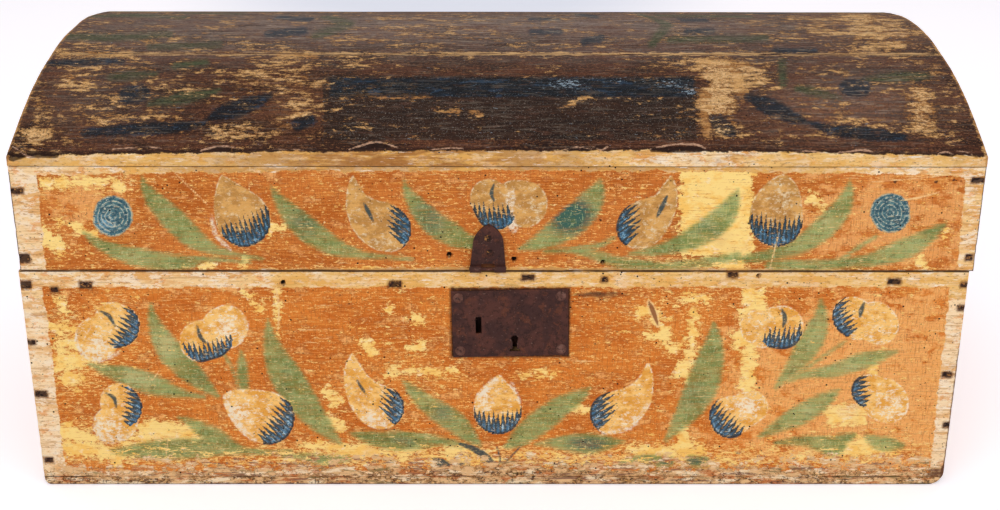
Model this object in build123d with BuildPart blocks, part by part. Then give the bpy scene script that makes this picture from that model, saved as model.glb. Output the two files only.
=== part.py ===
from build123d import *
import math
import os

# A small dome-topped dowry chest in nailed beech boards, with a hasp lock on its front.
# Millimetres. X runs along the front, +Y goes to the back, +Z is up.
# The origin is the middle of the underside, in the plane that the chest stands on.

# Body of the chest
body_width = 520.6
depth = 312.0
body_height = 133.5
front_board_thickness = 9.0
end_board_thickness = 10.0
bottom_thickness = 5.0

# Lid: its front stands straight up, and a thin bent board arches from front to back
lid_width = 521.6
lid_shift = 1.7
seam_gap = 0.3
lid_front_height = 60.0
dome_thickness = 5.0
dome_rise = 36.2
split_behind_front = 99.0
split_gap = 0.5

# Wear: the two lower corners of the front, and the upright edges
left_foot_radius = 4.0
right_foot_radius = 8.5
arris_radius = 1.0

# Old nail holes and large worm holes in the front: place, radius
old_hole_depth = 5.0
body_holes = [(-116.2, 126.6, 1.2), (144.5, 131.0, 0.9)]
lid_holes = [(-24.7, 143.2, 1.3), (10.7, 140.6, 1.2), (59.0, 138.9, 1.0)]

# Forged nails: an oblong flat head let into the wood, and a square tapered shank.
# Rust and wear have shortened some of the heads.
head_length = 6.4
head_width = 2.5
head_thickness = 0.8
head_sunk = 0.4
shank_side = 2.2
shank_taper = 1.0
corner_nail_length = 22.0
dome_nail_length = 14.0

# Iron of the lock, in the plane of the plate
lock_centre_x = 8.8
lock_centre_z = 102.8
lock_tilt = 1.3
plate_width = 64.5
plate_height = 40.0
plate_thickness = 1.2
staple_slot = (-17.6, -0.6, 3.3, 10.0)
key_centre = (2.3, -9.2)
key_eye_radius = 2.1
key_neck_width = 2.6
key_foot_width = 6.0
key_foot_height = 1.5
key_drop = 7.7
rivet_offset = (28.2, 16.0)
rivet_head_radius = 2.9
rivet_head_height = 1.0
rivet_shank_side = 2.0
mortise_width = 50.0
mortise_top = 14.0
mortise_bottom = -18.0
inner_cover_thickness = 1.0

# Bolt of the lock
bolt_tip = -14.2
bolt_tail = 23.0
bolt_bottom = -3.6
bolt_top = 2.4
bolt_thickness = 3.0
bolt_travel = 8.0
running_gap = 0.3
guide_strip = 3.0
guide_thickness = 1.0

# What is left of the hasp, on the lid
hasp_centre_x = -3.6
hasp_width = 19.6
hasp_shoulder = 15.6
hasp_height = 27.5
hasp_thickness = 1.3
hasp_pin_radius = 0.9
knuckle_radius = 2.0
knuckle_width = 6.2

# Wire hinges: two linked eyes at each place, their legs clinched inside
hinge_spacing = 300.0
wire_radius = 1.0
axis_behind_back = 6.6
eye_half_width = 4.4
eye_length = 8.6
leg_offset = 1.05
clinch_length = 9.0

# Heights and radii that follow from the dimensions above
front_y = -depth / 2
back_y = depth / 2
inner_front_y = front_y + front_board_thickness
inner_back_y = back_y - front_board_thickness
lid_bottom = body_height + seam_gap
lid_front_top = lid_bottom + lid_front_height
half_depth = depth / 2
edge_height = dome_thickness * 1.14
dome_edge_z = lid_front_top + edge_height
dome_radius = (half_depth**2 + dome_rise**2) / (2 * dome_rise)
dome_centre_z = dome_edge_z + dome_rise - dome_radius
dome_inner_radius = dome_radius - dome_thickness
body_left = -body_width / 2
body_right = body_width / 2
lid_left = lid_shift - lid_width / 2
lid_right = lid_shift + lid_width / 2
hinge_axis_y = back_y + axis_behind_back
hinge_axis_z = body_height + seam_gap / 2

front_plane = Plane(origin=(0, front_y, 0), x_dir=(1, 0, 0), z_dir=(0, -1, 0))
back_plane = Plane(origin=(0, back_y, 0), x_dir=(-1, 0, 0), z_dir=(0, 1, 0))
under_plane = Plane(origin=(0, 0, 0), x_dir=(1, 0, 0), z_dir=(0, 0, -1))
tilt = math.radians(lock_tilt)
lock_plane = Plane(
    origin=(lock_centre_x, front_y, lock_centre_z),
    x_dir=(math.cos(tilt), 0, math.sin(tilt)),
    z_dir=(0, -1, 0),
)

os.makedirs("parts", exist_ok=True)
made = []


def keep(solid, name):
    """Labels a finished piece and writes its file."""
    solid.label = name
    made.append(name)
    export_step(solid, f"parts/{name}.step")
    return solid


def dome_height(y, radius):
    """Height of an arc of the dome over a place between front and back."""
    return dome_centre_z + math.sqrt(radius**2 - y**2)


def dome_plane(x, degrees):
    """A plane that lies on the dome's outer face, its normal pointing away from it."""
    angle = math.radians(degrees)
    outward = (0, math.sin(angle), math.cos(angle))
    on_face = (x, dome_radius * outward[1], dome_centre_z + dome_radius * outward[2])
    return Plane(origin=on_face, x_dir=(1, 0, 0), z_dir=outward)


def forged_nails(places, length):
    """Nails driven in along their planes: places are (plane, x, y, turn of the head, its length)."""
    with BuildPart() as nails:
        for plane, x, y, turn, head in places:
            with BuildSketch(plane.offset(-head_sunk)):
                with Locations((x, y)):
                    Rectangle(head, head_width, rotation=turn)
            extrude(amount=-head_thickness)
            with BuildSketch(plane.offset(-head_sunk - head_thickness)):
                with Locations((x, y)):
                    Rectangle(shank_side, shank_side, rotation=turn)
            extrude(amount=-length, taper=shank_taper)
    return nails.part


def nail_beds(places):
    """The shallow pocket over each nail's head, open at the face of the wood."""
    with BuildPart() as beds:
        for plane, x, y, turn, head in places:
            with BuildSketch(plane):
                with Locations((x, y)):
                    Rectangle(head, head_width, rotation=turn)
            extrude(amount=-head_sunk)
    return beds.part


def board(width, from_y, to_y, from_z, to_z, centre_x=0):
    """A plain sawn board as a box, set by its faces."""
    with BuildPart() as plank:
        with Locations((centre_x, (from_y + to_y) / 2, (from_z + to_z) / 2)):
            Box(width, to_y - from_y, to_z - from_z)
    return plank.part


# Nails that hold the body's front and back to its ends, from the face into end grain
front_corner_places = [
    (front_plane, body_left + 3.1, 125.3, -18, 5.0),
    (front_plane, body_left + 2.3, 90.7, 0, 3.9),
    (front_plane, body_left + 4.2, 58.5, -8, 6.2),
    (front_plane, body_left + 3.7, 16.3, 4, 4.2),
    (front_plane, body_right - 2.0, 125.7, -4, 3.2),
    (front_plane, body_right - 2.0, 111.9, 0, 3.4),
    (front_plane, body_right - 5.3, 70.9, -4, 4.8),
    (front_plane, body_right - 1.9, 39.1, -10, 3.0),
]
back_corner_places = [
    (back_plane, side * (body_width / 2 - 4.4), height, turn, head_length)
    for side in (-1, 1)
    for height, turn in ((20.0, 6), (62.0, -5), (112.0, 4))
]
front_corner_nails = forged_nails(front_corner_places, corner_nail_length)
back_corner_nails = forged_nails(back_corner_places, corner_nail_length)

# Short nails left in the top rail of the front, from a batten that is gone
rail_nail_length = 6.0
rail_places = [
    (front_plane, -241.6, 122.4, 0, 3.8),
    (front_plane, -224.1, 125.4, -10, 6.0),
    (front_plane, -54.6, 125.9, 4, 6.4),
    (front_plane, 18.3, 130.0, 0, 6.4),
    (front_plane, 60.4, 128.8, 5, 2.8),
    (front_plane, 130.6, 131.5, 3, 5.0),
    (front_plane, 219.7, 127.7, -3, 6.4),
]
rail_nails = forged_nails(rail_places, rail_nail_length)

# Nails up through the bottom board into the walls
bottom_nail_length = 18.0
wall_middle_y = half_depth - front_board_thickness / 2
wall_nail_x = body_width / 2 - end_board_thickness * 0.75
bottom_places = [
    (under_plane, x, y, turn, head_length)
    for y in (-wall_middle_y, wall_middle_y)
    for x, turn in ((-205.0, 8), (-70.0, -6), (70.0, 4), (205.0, -9))
]
bottom_places += [
    (under_plane, x, y, turn, head_length)
    for x in (-wall_nail_x, wall_nail_x)
    for y, turn in ((-80.0, 84), (80.0, 96))
]
bottom_nails = forged_nails(bottom_places, bottom_nail_length)

# Nails at the lid's corners
lid_front_places = [
    (front_plane, lid_left + 3.5, 179.7, -2, 6.4),
    (front_plane, lid_left + 3.0, 141.0, -26, 5.0),
    (front_plane, lid_right - 3.9, 186.2, 0, 6.4),
    (front_plane, lid_right - 3.2, 142.0, 8, 3.2),
]
lid_back_places = [
    (back_plane, side * (lid_width / 2 - 4.4) - lid_shift, height, turn, head_length)
    for side in (-1, 1)
    for height, turn in ((150.0, -4), (181.0, 6))
]
lid_front_nails = forged_nails(lid_front_places, corner_nail_length)
lid_back_nails = forged_nails(lid_back_places, corner_nail_length)

# Nails along the dome: round both ends, and along its front and back edges
dome_end_angles = (-22.9, -15.3, -8.0, 0.0, 8.5, 16.0, 23.0)
dome_edge_angle = 25.2
dome_end_places = [
    (dome_plane(x, angle), 0, 0, 88, head_length)
    for x in (lid_left + 6.2, lid_right - 4.8)
    for angle in dome_end_angles
]
dome_front_places = [
    (dome_plane(x, -dome_edge_angle), 0, 0, turn, head_length)
    for x, turn in ((-137.2, 4), (-61.2, -5), (42.8, 0), (95.8, 6), (228.8, -4))
]
dome_back_places = [
    (dome_plane(x, dome_edge_angle), 0, 0, turn, head_length)
    for x, turn in ((-215.0, 3), (-110.0, -7), (0.0, 5), (110.0, 0), (215.0, -4))
]
dome_end_nails = forged_nails(dome_end_places, dome_nail_length)
dome_edge_nails = forged_nails(dome_front_places + dome_back_places, dome_nail_length)


# Lock plate: forged sheet with a slot for the hasp's staple and a keyhole
with BuildPart() as lock_plate:
    with BuildSketch(lock_plane):
        Rectangle(plate_width, plate_height)
        with Locations(staple_slot[:2]):
            Rectangle(*staple_slot[2:], mode=Mode.SUBTRACT)
        with Locations(key_centre):
            Circle(key_eye_radius, mode=Mode.SUBTRACT)
        with Locations((key_centre[0], key_centre[1] - key_drop / 2)):
            Rectangle(key_neck_width, key_drop, mode=Mode.SUBTRACT)
        foot_y = key_centre[1] - key_drop + key_foot_height / 2
        with Locations((key_centre[0], foot_y)):
            Rectangle(key_foot_width, key_foot_height, mode=Mode.SUBTRACT)
        with Locations(*[(i * rivet_offset[0], j * rivet_offset[1]) for i in (-1, 1) for j in (-1, 1)]):
            Rectangle(rivet_shank_side, rivet_shank_side, mode=Mode.SUBTRACT)
    extrude(amount=plate_thickness)
    chamfer(lock_plate.faces().filter_by(Axis.Y).sort_by(Axis.Y)[0].outer_wire().edges(), 0.35)

# Cover over the lock's mortise, on the inner face of the front board
inner_cover_plane = lock_plane.offset(-front_board_thickness)
with BuildPart() as lock_inner_cover:
    with BuildSketch(inner_cover_plane):
        Rectangle(plate_width - 1.5, plate_height - 1.0)
        with Locations(key_centre):
            Circle(key_eye_radius, mode=Mode.SUBTRACT)
        with Locations(*[(i * rivet_offset[0], j * rivet_offset[1]) for i in (-1, 1) for j in (-1, 1)]):
            Rectangle(rivet_shank_side, rivet_shank_side, mode=Mode.SUBTRACT)
    extrude(amount=-inner_cover_thickness)

# Four rivets through plate, board and cover, with a dished round head outside
rivet_length = front_board_thickness + inner_cover_thickness
with BuildPart() as lock_rivets:
    for i in (-1, 1):
        for j in (-1, 1):
            centre = lock_plane.from_local_coords(
                Vector(i * rivet_offset[0], j * rivet_offset[1], plate_thickness)
            )
            head_plane = Plane(origin=centre, x_dir=(0, -1, 0), z_dir=(0, 0, 1))
            with BuildSketch(head_plane):
                with BuildLine():
                    Polyline((0, 0), (0, rivet_head_radius))
                    ThreePointArc(
                        (0, rivet_head_radius),
                        (rivet_head_height * 0.8, rivet_head_radius * 0.72),
                        (rivet_head_height, rivet_head_radius * 0.45),
                    )
                    Polyline(
                        (rivet_head_height, rivet_head_radius * 0.45),
                        (rivet_head_height * 0.62, 0),
                        (0, 0),
                    )
                make_face()
            revolve(axis=Axis(centre, (0, -1, 0)))
    with BuildSketch(lock_plane.offset(plate_thickness)):
        with Locations(*[(i * rivet_offset[0], j * rivet_offset[1]) for i in (-1, 1) for j in (-1, 1)]):
            Rectangle(rivet_shank_side, rivet_shank_side)
    extrude(amount=-rivet_length - plate_thickness)
    with BuildSketch(inner_cover_plane.offset(-inner_cover_thickness)):
        with Locations(*[(i * rivet_offset[0], j * rivet_offset[1]) for i in (-1, 1) for j in (-1, 1)]):
            Rectangle(rivet_shank_side * 1.8, rivet_shank_side * 1.8)
    extrude(amount=-0.7)

# Bolt: a flat bar that slides sideways through the hasp's staple, notched for the key
bolt_middle = (bolt_top + bolt_bottom) / 2
bolt_plane = lock_plane.offset(-running_gap)
with BuildPart() as lock_bolt:
    with BuildSketch(bolt_plane):
        with Locations(((bolt_tip + bolt_tail) / 2, bolt_middle)):
            Rectangle(bolt_tail - bolt_tip, bolt_top - bolt_bottom)
        with Locations((key_centre[0], bolt_bottom + 1.0)):
            Rectangle(6.5, 2.0, mode=Mode.SUBTRACT)
    extrude(amount=-bolt_thickness)

# Two bridges riveted behind the plate carry the bolt
guide_depth = bolt_thickness + 2 * running_gap
with BuildPart() as lock_bolt_guides:
    for u in (-9.5, 12.5):
        with BuildSketch(lock_plane):
            with Locations((u, bolt_middle)):
                Rectangle(guide_strip, bolt_top - bolt_bottom + 2 * (running_gap + guide_thickness))
        extrude(amount=-guide_depth - guide_thickness)
        with BuildSketch(lock_plane):
            with Locations((u, bolt_middle)):
                Rectangle(guide_strip, bolt_top - bolt_bottom + 2 * running_gap)
        extrude(amount=-guide_depth, mode=Mode.SUBTRACT)

# Leaf spring over the bolt, its foot held in a slit stud
spring_thickness = 0.6
spring_width = 2.6
spring_route = [(21.6, 11.2), (11.0, 9.6), (3.0, 6.2), (-4.0, bolt_top + running_gap + 0.6)]
with BuildPart() as lock_spring:
    with BuildSketch(lock_plane.offset(-running_gap)):
        with BuildLine():
            FilletPolyline(*spring_route, radius=9.0)
        trace(line_width=spring_thickness)
    extrude(amount=-spring_width)

with BuildPart() as lock_spring_stud:
    with BuildSketch(lock_plane):
        with Locations((20.4, 11.1)):
            Rectangle(3.6, 2.6)
    extrude(amount=-5.0)
    add(lock_spring.part, mode=Mode.SUBTRACT)

# A ring ward on the inner cover, open above for the bolt and below for the keyhole
ward_radius = 5.0
ward_height = 2.8
with BuildPart() as lock_ward:
    with BuildSketch(inner_cover_plane):
        with Locations(key_centre):
            Circle(ward_radius + 0.4)
            Circle(ward_radius - 0.4, mode=Mode.SUBTRACT)
            Rectangle(5.0, 3 * ward_radius, mode=Mode.SUBTRACT)
    extrude(amount=ward_height)

# Hasp leaf on the lid: a tongue with a blunt point, and two rolled knuckles below
hasp_bottom = lid_bottom + knuckle_radius
hasp_top = lid_bottom + hasp_height
hasp_left = hasp_centre_x - hasp_width / 2
hasp_right = hasp_centre_x + hasp_width / 2
shoulder_z = hasp_bottom + 16.5
notch_width = hasp_width - 2 * knuckle_width
pin_y = front_y - knuckle_radius
hasp_nail_places = [(hasp_centre_x, hasp_top - 8.0), (hasp_centre_x + 1.2, hasp_bottom + 9.0)]
with BuildPart() as hasp_leaf:
    with BuildSketch(front_plane):
        with BuildLine():
            Polyline(
                (hasp_centre_x - hasp_shoulder / 2, shoulder_z),
                (hasp_left, hasp_bottom),
                (hasp_right, hasp_bottom),
                (hasp_centre_x + hasp_shoulder / 2 + 0.6, shoulder_z),
            )
            ThreePointArc(
                (hasp_centre_x + hasp_shoulder / 2 + 0.6, shoulder_z),
                (hasp_centre_x + 5.2, hasp_top - 3.2),
                (hasp_centre_x + 0.6, hasp_top),
            )
            ThreePointArc(
                (hasp_centre_x + 0.6, hasp_top),
                (hasp_centre_x - 4.4, hasp_top - 3.4),
                (hasp_centre_x - hasp_shoulder / 2, shoulder_z),
            )
        make_face()
        with Locations((hasp_centre_x, hasp_bottom + 1.0)):
            Rectangle(notch_width, 3.6, mode=Mode.SUBTRACT)
        with Locations(*hasp_nail_places):
            Rectangle(1.8, 1.8, mode=Mode.SUBTRACT)
    extrude(amount=hasp_thickness)
    for left in (hasp_left, hasp_right - knuckle_width):
        knuckle_plane = Plane(origin=(left, 0, 0), x_dir=(0, 1, 0), z_dir=(1, 0, 0))
        with BuildSketch(knuckle_plane):
            with Locations((pin_y, hasp_bottom)):
                Circle(knuckle_radius)
        extrude(amount=knuckle_width)
        with BuildSketch(knuckle_plane):
            with Locations((pin_y, hasp_bottom)):
                Circle(hasp_pin_radius + 0.05)
        extrude(amount=knuckle_width, mode=Mode.SUBTRACT)

with BuildPart() as hasp_pin:
    with BuildSketch(Plane(origin=(hasp_left - 0.3, 0, 0), x_dir=(0, 1, 0), z_dir=(1, 0, 0))):
        with Locations((pin_y, hasp_bottom)):
            Circle(hasp_pin_radius)
    extrude(amount=hasp_width + 0.6)

with BuildPart() as hasp_nails:
    with BuildSketch(front_plane.offset(hasp_thickness)):
        with Locations(*hasp_nail_places):
            Rectangle(1.8, 1.8)
    extrude(amount=-hasp_thickness - front_board_thickness - 0.6)
    with BuildSketch(front_plane.offset(hasp_thickness)):
        with Locations(*hasp_nail_places):
            RegularPolygon(2.1, 7)
    extrude(amount=0.5, taper=25)
    with BuildSketch(Plane(origin=(0, inner_front_y, 0), x_dir=(1, 0, 0), z_dir=(0, -1, 0))):
        with Locations(*[(x, z + 1.6) for x, z in hasp_nail_places]):
            Rectangle(1.8, 5.0)
    extrude(amount=-0.6)


def wire_eye(centre_x, leg_direction, across, from_axis_to_far, clinch, wall_inner_y):
    """A bent wire: an eye outside, two legs through the wall, their ends turned over inside.
    across is the direction between the legs, and clinch the two ways that the ends turn."""
    axis = Vector(centre_x, hinge_axis_y, hinge_axis_z)
    inward = Vector(*leg_direction)
    side = Vector(*across)
    far = -from_axis_to_far
    neck = far + eye_length
    turned = (hinge_axis_y - wall_inner_y + wire_radius) / abs(inward.Y)

    def spot(offset, along):
        return axis + side * offset + inward * along

    ends = []
    for way in (-1, 1):
        bend = spot(way * leg_offset, turned)
        slack = wall_inner_y - wire_radius - bend.Y
        bend = bend + inward * (slack / inward.Y)
        ends.append((bend + Vector(*clinch[way]) * clinch_length, bend))
    points = [
        ends[0][0],
        ends[0][1],
        spot(-leg_offset, neck + 1.0),
        spot(-eye_half_width, neck - 3.0),
        spot(-eye_half_width, far),
        spot(eye_half_width, far),
        spot(eye_half_width, neck - 3.0),
        spot(leg_offset, neck + 1.0),
        ends[1][1],
        ends[1][0],
    ]
    corner = eye_half_width - 0.2
    with BuildPart() as eye:
        with BuildLine() as route:
            FilletPolyline(*points, radius=[1.6, 2.0, 2.2, corner, corner, 2.2, 2.0, 1.6])
        start = route.line @ 0
        with BuildSketch(Plane(origin=start, z_dir=route.line % 0)):
            Circle(wire_radius)
        sweep(path=route.line)
    return eye.part


diagonal = math.sqrt(0.5)
lower_eyes = {}
upper_eyes = {}
for side_name, eye_x in (("left", -hinge_spacing / 2), ("right", hinge_spacing / 2)):
    lower_eyes[side_name] = wire_eye(
        eye_x,
        (0, -diagonal, -diagonal),
        (1, 0, 0),
        0.0,
        {-1: (-1, 0, 0), 1: (1, 0, 0)},
        inner_back_y,
    )
    upper_eyes[side_name] = wire_eye(
        eye_x,
        (0, -diagonal, diagonal),
        (0, diagonal, diagonal),
        eye_half_width,
        {-1: (-1, 0, 0), 1: (1, 0, 0)},
        inner_back_y,
    )

# The body's outside, with its worn corners: every board of it is cut from this block
with BuildPart() as worn_block:
    with Locations((0, 0, body_height / 2)):
        Box(body_width, depth, body_height)
    left_foot, right_foot = worn_block.edges().filter_by(Axis.Y).group_by(Axis.Z)[0].sort_by(Axis.X)
    fillet(left_foot, left_foot_radius)
    fillet(right_foot, right_foot_radius)
    fillet(worn_block.edges().filter_by(Axis.Z), arris_radius)


def old_holes(places):
    """Round holes bored straight into the front."""
    with BuildPart() as holes:
        for x, z, radius in places:
            with BuildSketch(front_plane):
                with Locations((x, z)):
                    Circle(radius)
            extrude(amount=-old_hole_depth)
    return holes.part


with BuildPart() as bottom_board:
    add(board(body_width, front_y, back_y, 0, bottom_thickness))
    add(worn_block.part, mode=Mode.INTERSECT)
    add(bottom_nails, mode=Mode.SUBTRACT)
    add(nail_beds(bottom_places), mode=Mode.SUBTRACT)

with BuildPart() as front_board:
    add(board(body_width, front_y, inner_front_y, bottom_thickness, body_height))
    add(worn_block.part, mode=Mode.INTERSECT)
    with BuildSketch(lock_plane):
        with Locations((0, (mortise_top + mortise_bottom) / 2)):
            Rectangle(mortise_width, mortise_top - mortise_bottom)
    extrude(amount=-front_board_thickness, mode=Mode.SUBTRACT)
    for nails in (front_corner_nails, rail_nails, bottom_nails, lock_rivets.part):
        add(nails, mode=Mode.SUBTRACT)
    add(nail_beds(front_corner_places + rail_places), mode=Mode.SUBTRACT)
    add(old_holes(body_holes), mode=Mode.SUBTRACT)

with BuildPart() as back_board:
    add(board(body_width, inner_back_y, back_y, bottom_thickness, body_height))
    add(worn_block.part, mode=Mode.INTERSECT)
    for iron in (back_corner_nails, bottom_nails, *lower_eyes.values()):
        add(iron, mode=Mode.SUBTRACT)
    add(nail_beds(back_corner_places), mode=Mode.SUBTRACT)

end_boards = {}
for name, centre_x in (
    ("left", body_left + end_board_thickness / 2),
    ("right", body_right - end_board_thickness / 2),
):
    with BuildPart() as end_board:
        add(board(end_board_thickness, inner_front_y, inner_back_y, bottom_thickness, body_height, centre_x))
        add(worn_block.part, mode=Mode.INTERSECT)
        for nails in (front_corner_nails, back_corner_nails, bottom_nails):
            add(nails, mode=Mode.SUBTRACT)
    end_boards[name] = end_board.part

# Boards of the lid. Their tops follow the inside of the dome.
lid_solid_top = dome_edge_z + dome_rise + 10
with BuildPart() as dome_hollow:
    with BuildSketch(Plane(origin=(lid_left, 0, 0), x_dir=(0, 1, 0), z_dir=(1, 0, 0))):
        with Locations((0, dome_centre_z)):
            Circle(dome_inner_radius)
    extrude(amount=lid_width)

with BuildPart() as lid_front_board:
    add(board(lid_width, front_y, inner_front_y, lid_bottom, lid_solid_top, lid_shift))
    fillet(lid_front_board.edges().filter_by(Axis.Z).group_by(Axis.Y)[0], arris_radius)
    add(dome_hollow.part, mode=Mode.INTERSECT)
    for iron in (lid_front_nails, dome_edge_nails, hasp_nails.part):
        add(iron, mode=Mode.SUBTRACT)
    add(nail_beds(lid_front_places), mode=Mode.SUBTRACT)
    add(old_holes(lid_holes), mode=Mode.SUBTRACT)

with BuildPart() as lid_back_board:
    add(board(lid_width, inner_back_y, back_y, lid_bottom, lid_solid_top, lid_shift))
    fillet(lid_back_board.edges().filter_by(Axis.Z).group_by(Axis.Y)[-1], arris_radius)
    add(dome_hollow.part, mode=Mode.INTERSECT)
    for iron in (lid_back_nails, dome_edge_nails, *upper_eyes.values()):
        add(iron, mode=Mode.SUBTRACT)
    add(nail_beds(lid_back_places), mode=Mode.SUBTRACT)

lid_ends = {}
for name, centre_x in (
    ("left", lid_left + end_board_thickness / 2),
    ("right", lid_right - end_board_thickness / 2),
):
    with BuildPart() as lid_end:
        add(board(end_board_thickness, inner_front_y, inner_back_y, lid_bottom, lid_solid_top, centre_x))
        add(dome_hollow.part, mode=Mode.INTERSECT)
        for nails in (lid_front_nails, lid_back_nails, dome_end_nails):
            add(nails, mode=Mode.SUBTRACT)
    lid_ends[name] = lid_end.part


def dome_board(from_y, to_y):
    """A bent board between two places of the dome, its long edges cut upright."""
    with BuildPart() as bent:
        with BuildSketch(Plane(origin=(lid_left, 0, 0), x_dir=(0, 1, 0), z_dir=(1, 0, 0))):
            with Locations((0, dome_centre_z)):
                Circle(dome_radius)
                Circle(dome_inner_radius, mode=Mode.SUBTRACT)
            with Locations(((from_y + to_y) / 2, dome_centre_z + dome_radius)):
                Rectangle(to_y - from_y, 2 * dome_rise + 40, mode=Mode.INTERSECT)
        extrude(amount=lid_width)
        for nails in (dome_end_nails, dome_edge_nails):
            add(nails, mode=Mode.SUBTRACT)
        places = dome_end_places + dome_front_places + dome_back_places
        add(nail_beds(places), mode=Mode.SUBTRACT)
    return bent.part


split_y = front_y + split_behind_front
dome_front_board = dome_board(front_y, split_y)
dome_back_board = dome_board(split_y + split_gap, back_y)

keep(bottom_board.part, "bottom_board")
keep(front_board.part, "front_board")
keep(back_board.part, "back_board")
keep(end_boards["left"], "left_end_board")
keep(end_boards["right"], "right_end_board")
keep(front_corner_nails, "front_corner_nails")
keep(back_corner_nails, "back_corner_nails")
keep(rail_nails, "rail_nails")
keep(bottom_nails, "bottom_nails")
keep(lock_plate.part, "lock_plate")
keep(lock_inner_cover.part, "lock_inner_cover")
keep(lock_rivets.part, "lock_rivets")
keep(lock_bolt.part, "lock_bolt")
keep(lock_bolt_guides.part, "lock_bolt_guides")
keep(lock_spring.part, "lock_spring")
keep(lock_spring_stud.part, "lock_spring_stud")
keep(lock_ward.part, "lock_ward")
keep(lid_front_board.part, "lid_front_board")
keep(lid_back_board.part, "lid_back_board")
keep(lid_ends["left"], "lid_left_end")
keep(lid_ends["right"], "lid_right_end")
keep(dome_front_board, "dome_front_board")
keep(dome_back_board, "dome_back_board")
keep(lid_front_nails, "lid_front_nails")
keep(lid_back_nails, "lid_back_nails")
keep(dome_end_nails, "dome_end_nails")
keep(dome_edge_nails, "dome_edge_nails")
keep(hasp_leaf.part, "hasp_leaf")
keep(hasp_pin.part, "hasp_pin")
keep(hasp_nails.part, "hasp_nails")
for side_name in ("left", "right"):
    keep(lower_eyes[side_name], f"hinge_lower_eye_{side_name}")
    keep(upper_eyes[side_name], f"hinge_upper_eye_{side_name}")
print(len(made), "nodes written")
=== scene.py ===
import math

import bpy
import numpy as np
from mathutils import Matrix, Vector, noise


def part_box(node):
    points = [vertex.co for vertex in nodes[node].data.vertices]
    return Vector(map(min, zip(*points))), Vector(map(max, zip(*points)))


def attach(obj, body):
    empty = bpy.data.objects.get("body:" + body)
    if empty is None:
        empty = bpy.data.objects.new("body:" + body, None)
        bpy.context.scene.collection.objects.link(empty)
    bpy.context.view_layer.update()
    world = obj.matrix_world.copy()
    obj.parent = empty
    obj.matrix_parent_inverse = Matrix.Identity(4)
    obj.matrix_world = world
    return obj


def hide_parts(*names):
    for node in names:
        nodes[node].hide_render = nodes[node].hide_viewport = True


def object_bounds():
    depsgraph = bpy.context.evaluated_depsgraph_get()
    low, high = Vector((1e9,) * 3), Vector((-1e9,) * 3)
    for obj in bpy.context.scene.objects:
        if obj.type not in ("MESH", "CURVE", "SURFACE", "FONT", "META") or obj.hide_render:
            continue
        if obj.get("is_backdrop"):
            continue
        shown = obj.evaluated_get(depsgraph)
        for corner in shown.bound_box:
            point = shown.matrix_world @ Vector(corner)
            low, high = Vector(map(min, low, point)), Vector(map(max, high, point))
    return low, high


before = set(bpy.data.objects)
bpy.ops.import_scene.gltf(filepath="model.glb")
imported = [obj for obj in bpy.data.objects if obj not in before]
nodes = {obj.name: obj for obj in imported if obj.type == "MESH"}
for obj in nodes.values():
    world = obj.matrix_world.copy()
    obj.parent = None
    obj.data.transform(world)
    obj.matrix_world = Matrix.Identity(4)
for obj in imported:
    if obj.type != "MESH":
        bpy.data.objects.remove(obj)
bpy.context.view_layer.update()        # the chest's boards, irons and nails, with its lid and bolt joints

mm = 0.001

# The photograph's camera: metres, degrees, and pixels of a 1000 x 510 picture
camera = {
    "place": (0.0, -0.9014, 0.4358),
    "pitchDown": 21.43,
    "turnRight": 0.234,
    "roll": 0.125,
    "focalPixels": 1470.0,
    "pictureWidth": 1000.0,
    "pictureHeight": 510.0,
    "sensorWidth": 36.0,
}
cameraTurn = (
    Matrix.Rotation(math.radians(-camera["turnRight"]), 4, "Z")
    @ Matrix.Rotation(math.radians(90 - camera["pitchDown"]), 4, "X")
    @ Matrix.Rotation(math.radians(camera["roll"]), 4, "Z")
)


def photoSpot(points):
    # where each point of the chest lies in the photograph, in pixels
    turned = (points - np.array(camera["place"])) @ np.array(cameraTurn.to_3x3())
    scale = camera["focalPixels"] / -turned[:, 2]
    across = camera["pictureWidth"] / 2 + turned[:, 0] * scale
    down = camera["pictureHeight"] / 2 - turned[:, 1] * scale
    return np.stack([across, down], 1)


def linear(text):
    # an sRGB hex colour as the linear colour that a shader takes
    parts = [int(text[i:i + 2], 16) / 255 for i in (1, 3, 5)]
    return (*[c / 12.92 if c < 0.04045 else ((c + 0.055) / 1.055) ** 2.4 for c in parts], 1.0)


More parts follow.
